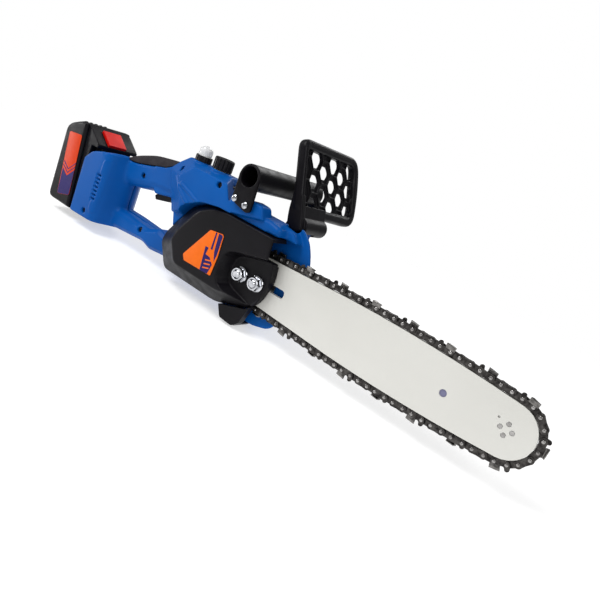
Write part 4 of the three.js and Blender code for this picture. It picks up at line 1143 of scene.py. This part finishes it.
def battery_label():
    """A printed film: orange above, purple below, with chevrons where they meet."""
    low, _ = span("battery_label")
    film = label_film("battery_label", [(-243.5, -35.5, 3), (-220, -29.5, 3), (-227, 46.5, 3), (-252, 44, 3)])
    piece("battery_label_film", film, "pack", "label_print", ["battery_label"], RED_INK)
    bottom, top = Vector((-231.5, -32.5)), Vector((-239.2, 45.0))
    half_width, tilt = 11.6, 2.2

    def across(share, rise, side):
        """A point up the label's middle line, moved up by rise and out by side half widths."""
        point = bottom.lerp(top, share)
        return (point.x + side * half_width, point.y + rise + side * tilt)

    def chevron(share, width):
        left, middle, right = (5, -1), (-4, 0), (5, 1)
        lower = [across(share, rise, side) for rise, side in (left, middle, right)]
        upper = [across(share, width + rise, side) for rise, side in (right, middle, left)]
        return lower + upper

    block_foot = [(-243.3, -35.2, 2.8), (-220.2, -29.3, 2.8)]
    block_head = [across(0.36, 5, 1), across(0.36, -4, 0), across(0.36, 5, -1)]
    loops = [block_foot + block_head, chevron(0.4, 1.6), chevron(0.46, 1.6)]
    ink = printed(loops, low.y + 0.02)
    piece("battery_label_blocks", ink, "pack", "label_print", ["battery_label"], PURPLE_INK)


# ---------------------------------------------------------------- the rest


def fine_copy(node, body, voxel=0.0):
    """A CAD node with its facets dissolved and shaded smooth, or moulded with rounded edges."""
    slot = SLOT_OF[node]
    if voxel:
        piece(f"{node}_skin", moulded([cad_solid(node)], voxel, 6), body, slot, [node], sharp=180)
        return
    solid = cad_solid(node)
    bmesh.ops.dissolve_limit(solid, angle_limit=math.radians(1), verts=solid.verts, edges=solid.edges)
    piece(f"{node}_fine", solid, body, slot, [node])


# The finest detail kept on small moulded pieces.
MOULDED = {
    "trigger": 0.35,
    "lock_button": 0.3,
    "chip_guide": 0.45,
    "switch_module": 0.5,
    "terminal_block": 0.6,
}


def remaining_nodes():
    """Every CAD node that no piece stands for yet."""
    bodies = frame["record"]["behaviour"]["bodies"]
    for body, nodes in bodies.items():
        for node in nodes:
            if not frame["nodes"][node].hide_render:
                fine_copy(node, body, MOULDED.get(node, 0.0))


# ---------------------------------------------------------------- studio


def soft_light(name, place, size, power, colour=(1, 1, 1)):
    lamp = bpy.data.lights.new(name, "AREA")
    lamp.shape = "RECTANGLE"
    lamp.size, lamp.size_y = size
    lamp.energy = power
    lamp.color = colour
    light = bpy.data.objects.new(name, lamp)
    light.location = place
    light.rotation_euler = (Vector((0, 0, 0.09)) - Vector(place)).to_track_quat("-Z", "Y").to_euler()
    bpy.context.collection.objects.link(light)


def floor():
    """A round pale floor that fades out before its edge, so that no horizon shows."""
    radius = 1.1
    solid = bmesh.new()
    bmesh.ops.create_circle(solid, cap_ends=True, segments=64, radius=radius)
    mesh = bpy.data.meshes.new("floor")
    solid.to_mesh(mesh)
    solid.free()
    material = principled("floor", 0.9, specular=0.0)
    nodes = material.node_tree.nodes
    links = material.node_tree.links
    shader = nodes["Principled BSDF"]
    colour_from(material, grain(material, 3, 2), (0.55, 0.55, 0.55), (0.57, 0.57, 0.57))
    shader.inputs["Emission Color"].default_value = (1, 1, 1, 1)
    shader.inputs["Emission Strength"].default_value = 0.55
    place = nodes.new("ShaderNodeTexCoord")
    distance = nodes.new("ShaderNodeVectorMath")
    distance.operation = "LENGTH"
    fade = nodes.new("ShaderNodeMapRange")
    fade.inputs["From Min"].default_value = 0.45 * radius
    fade.inputs["From Max"].default_value = 0.95 * radius
    clear = nodes.new("ShaderNodeBsdfTransparent")
    mix = nodes.new("ShaderNodeMixShader")
    links.new(place.outputs["Object"], distance.inputs[0])
    links.new(distance.outputs["Value"], fade.inputs["Value"])
    links.new(fade.outputs["Result"], mix.inputs["Fac"])
    links.new(shader.outputs["BSDF"], mix.inputs[1])
    links.new(clear.outputs["BSDF"], mix.inputs[2])
    links.new(mix.outputs["Shader"], nodes["Material Output"].inputs["Surface"])
    mesh.materials.append(material)
    ground = bpy.data.objects.new("floor", mesh)
    ground.location.z = -0.0005
    bpy.context.collection.objects.link(ground)


def world():
    """White to the camera, dimmer to the surfaces, so that black plastic stays black."""
    sky = bpy.data.worlds.new("studio")
    sky.use_nodes = True
    nodes = sky.node_tree.nodes
    links = sky.node_tree.links
    paths = nodes.new("ShaderNodeLightPath")
    strength = nodes.new("ShaderNodeMapRange")
    strength.inputs["To Min"].default_value = 0.34
    strength.inputs["To Max"].default_value = 1.0
    links.new(paths.outputs["Is Camera Ray"], strength.inputs["Value"])
    links.new(strength.outputs["Result"], nodes["Background"].inputs["Strength"])
    nodes["Background"].inputs["Color"].default_value = (1, 1, 1, 1)
    bpy.context.scene.world = sky


def camera():
    """Stands to the right and ahead of the saw, looking down at it, rolled so that the bar points down."""
    place = Vector((0.3589, -0.5207, 0.2015))
    forward = Vector((-0.46696, 0.84614, -0.25691)).normalized()
    up = Vector((-0.45678, 0.01796, 0.88940))
    right = forward.cross(up).normalized()
    up = right.cross(forward)
    turn = Matrix((right, up, -forward)).transposed()
    lens = bpy.data.cameras.new("camera")
    lens.lens = 33.58
    lens.sensor_width = 36
    lens.clip_start = 0.01
    viewer = bpy.data.objects.new("camera", lens)
    viewer.matrix_world = Matrix.Translation(place) @ turn.to_4x4()
    bpy.context.collection.objects.link(viewer)
    bpy.context.scene.camera = viewer


def studio():
    floor()
    world()
    soft_light("key", (-0.5, -0.9, 1.3), (0.9, 0.7), 18)
    soft_light("fill", (1.2, -0.7, 0.8), (0.8, 0.8), 7)
    soft_light("back", (-0.2, 1.1, 1.0), (1.0, 0.5), 7)
    soft_light("strip", (-1.1, -0.45, 0.12), (0.12, 0.5), 3)
    bpy.context.scene.view_settings.view_transform = "Standard"
    camera()


saw_chain()
guide_bar()
bar_nut("bar_nut_rear", "bar_nut_1", "rear_nut")
bar_nut("bar_nut_front", "bar_nut_2", "front_nut")
threaded_stud("bar_stud_rear", "bar_stud_1")
threaded_stud("bar_stud_front", "bar_stud_2")
sprocket_cover()
cover_label()
housing()
housing_screws()
front_handle()
handle_screws()
hand_guard()
oil_cap()
primer_bulb()
primer_collar()
battery()
battery_label()
remaining_nodes()
studio()
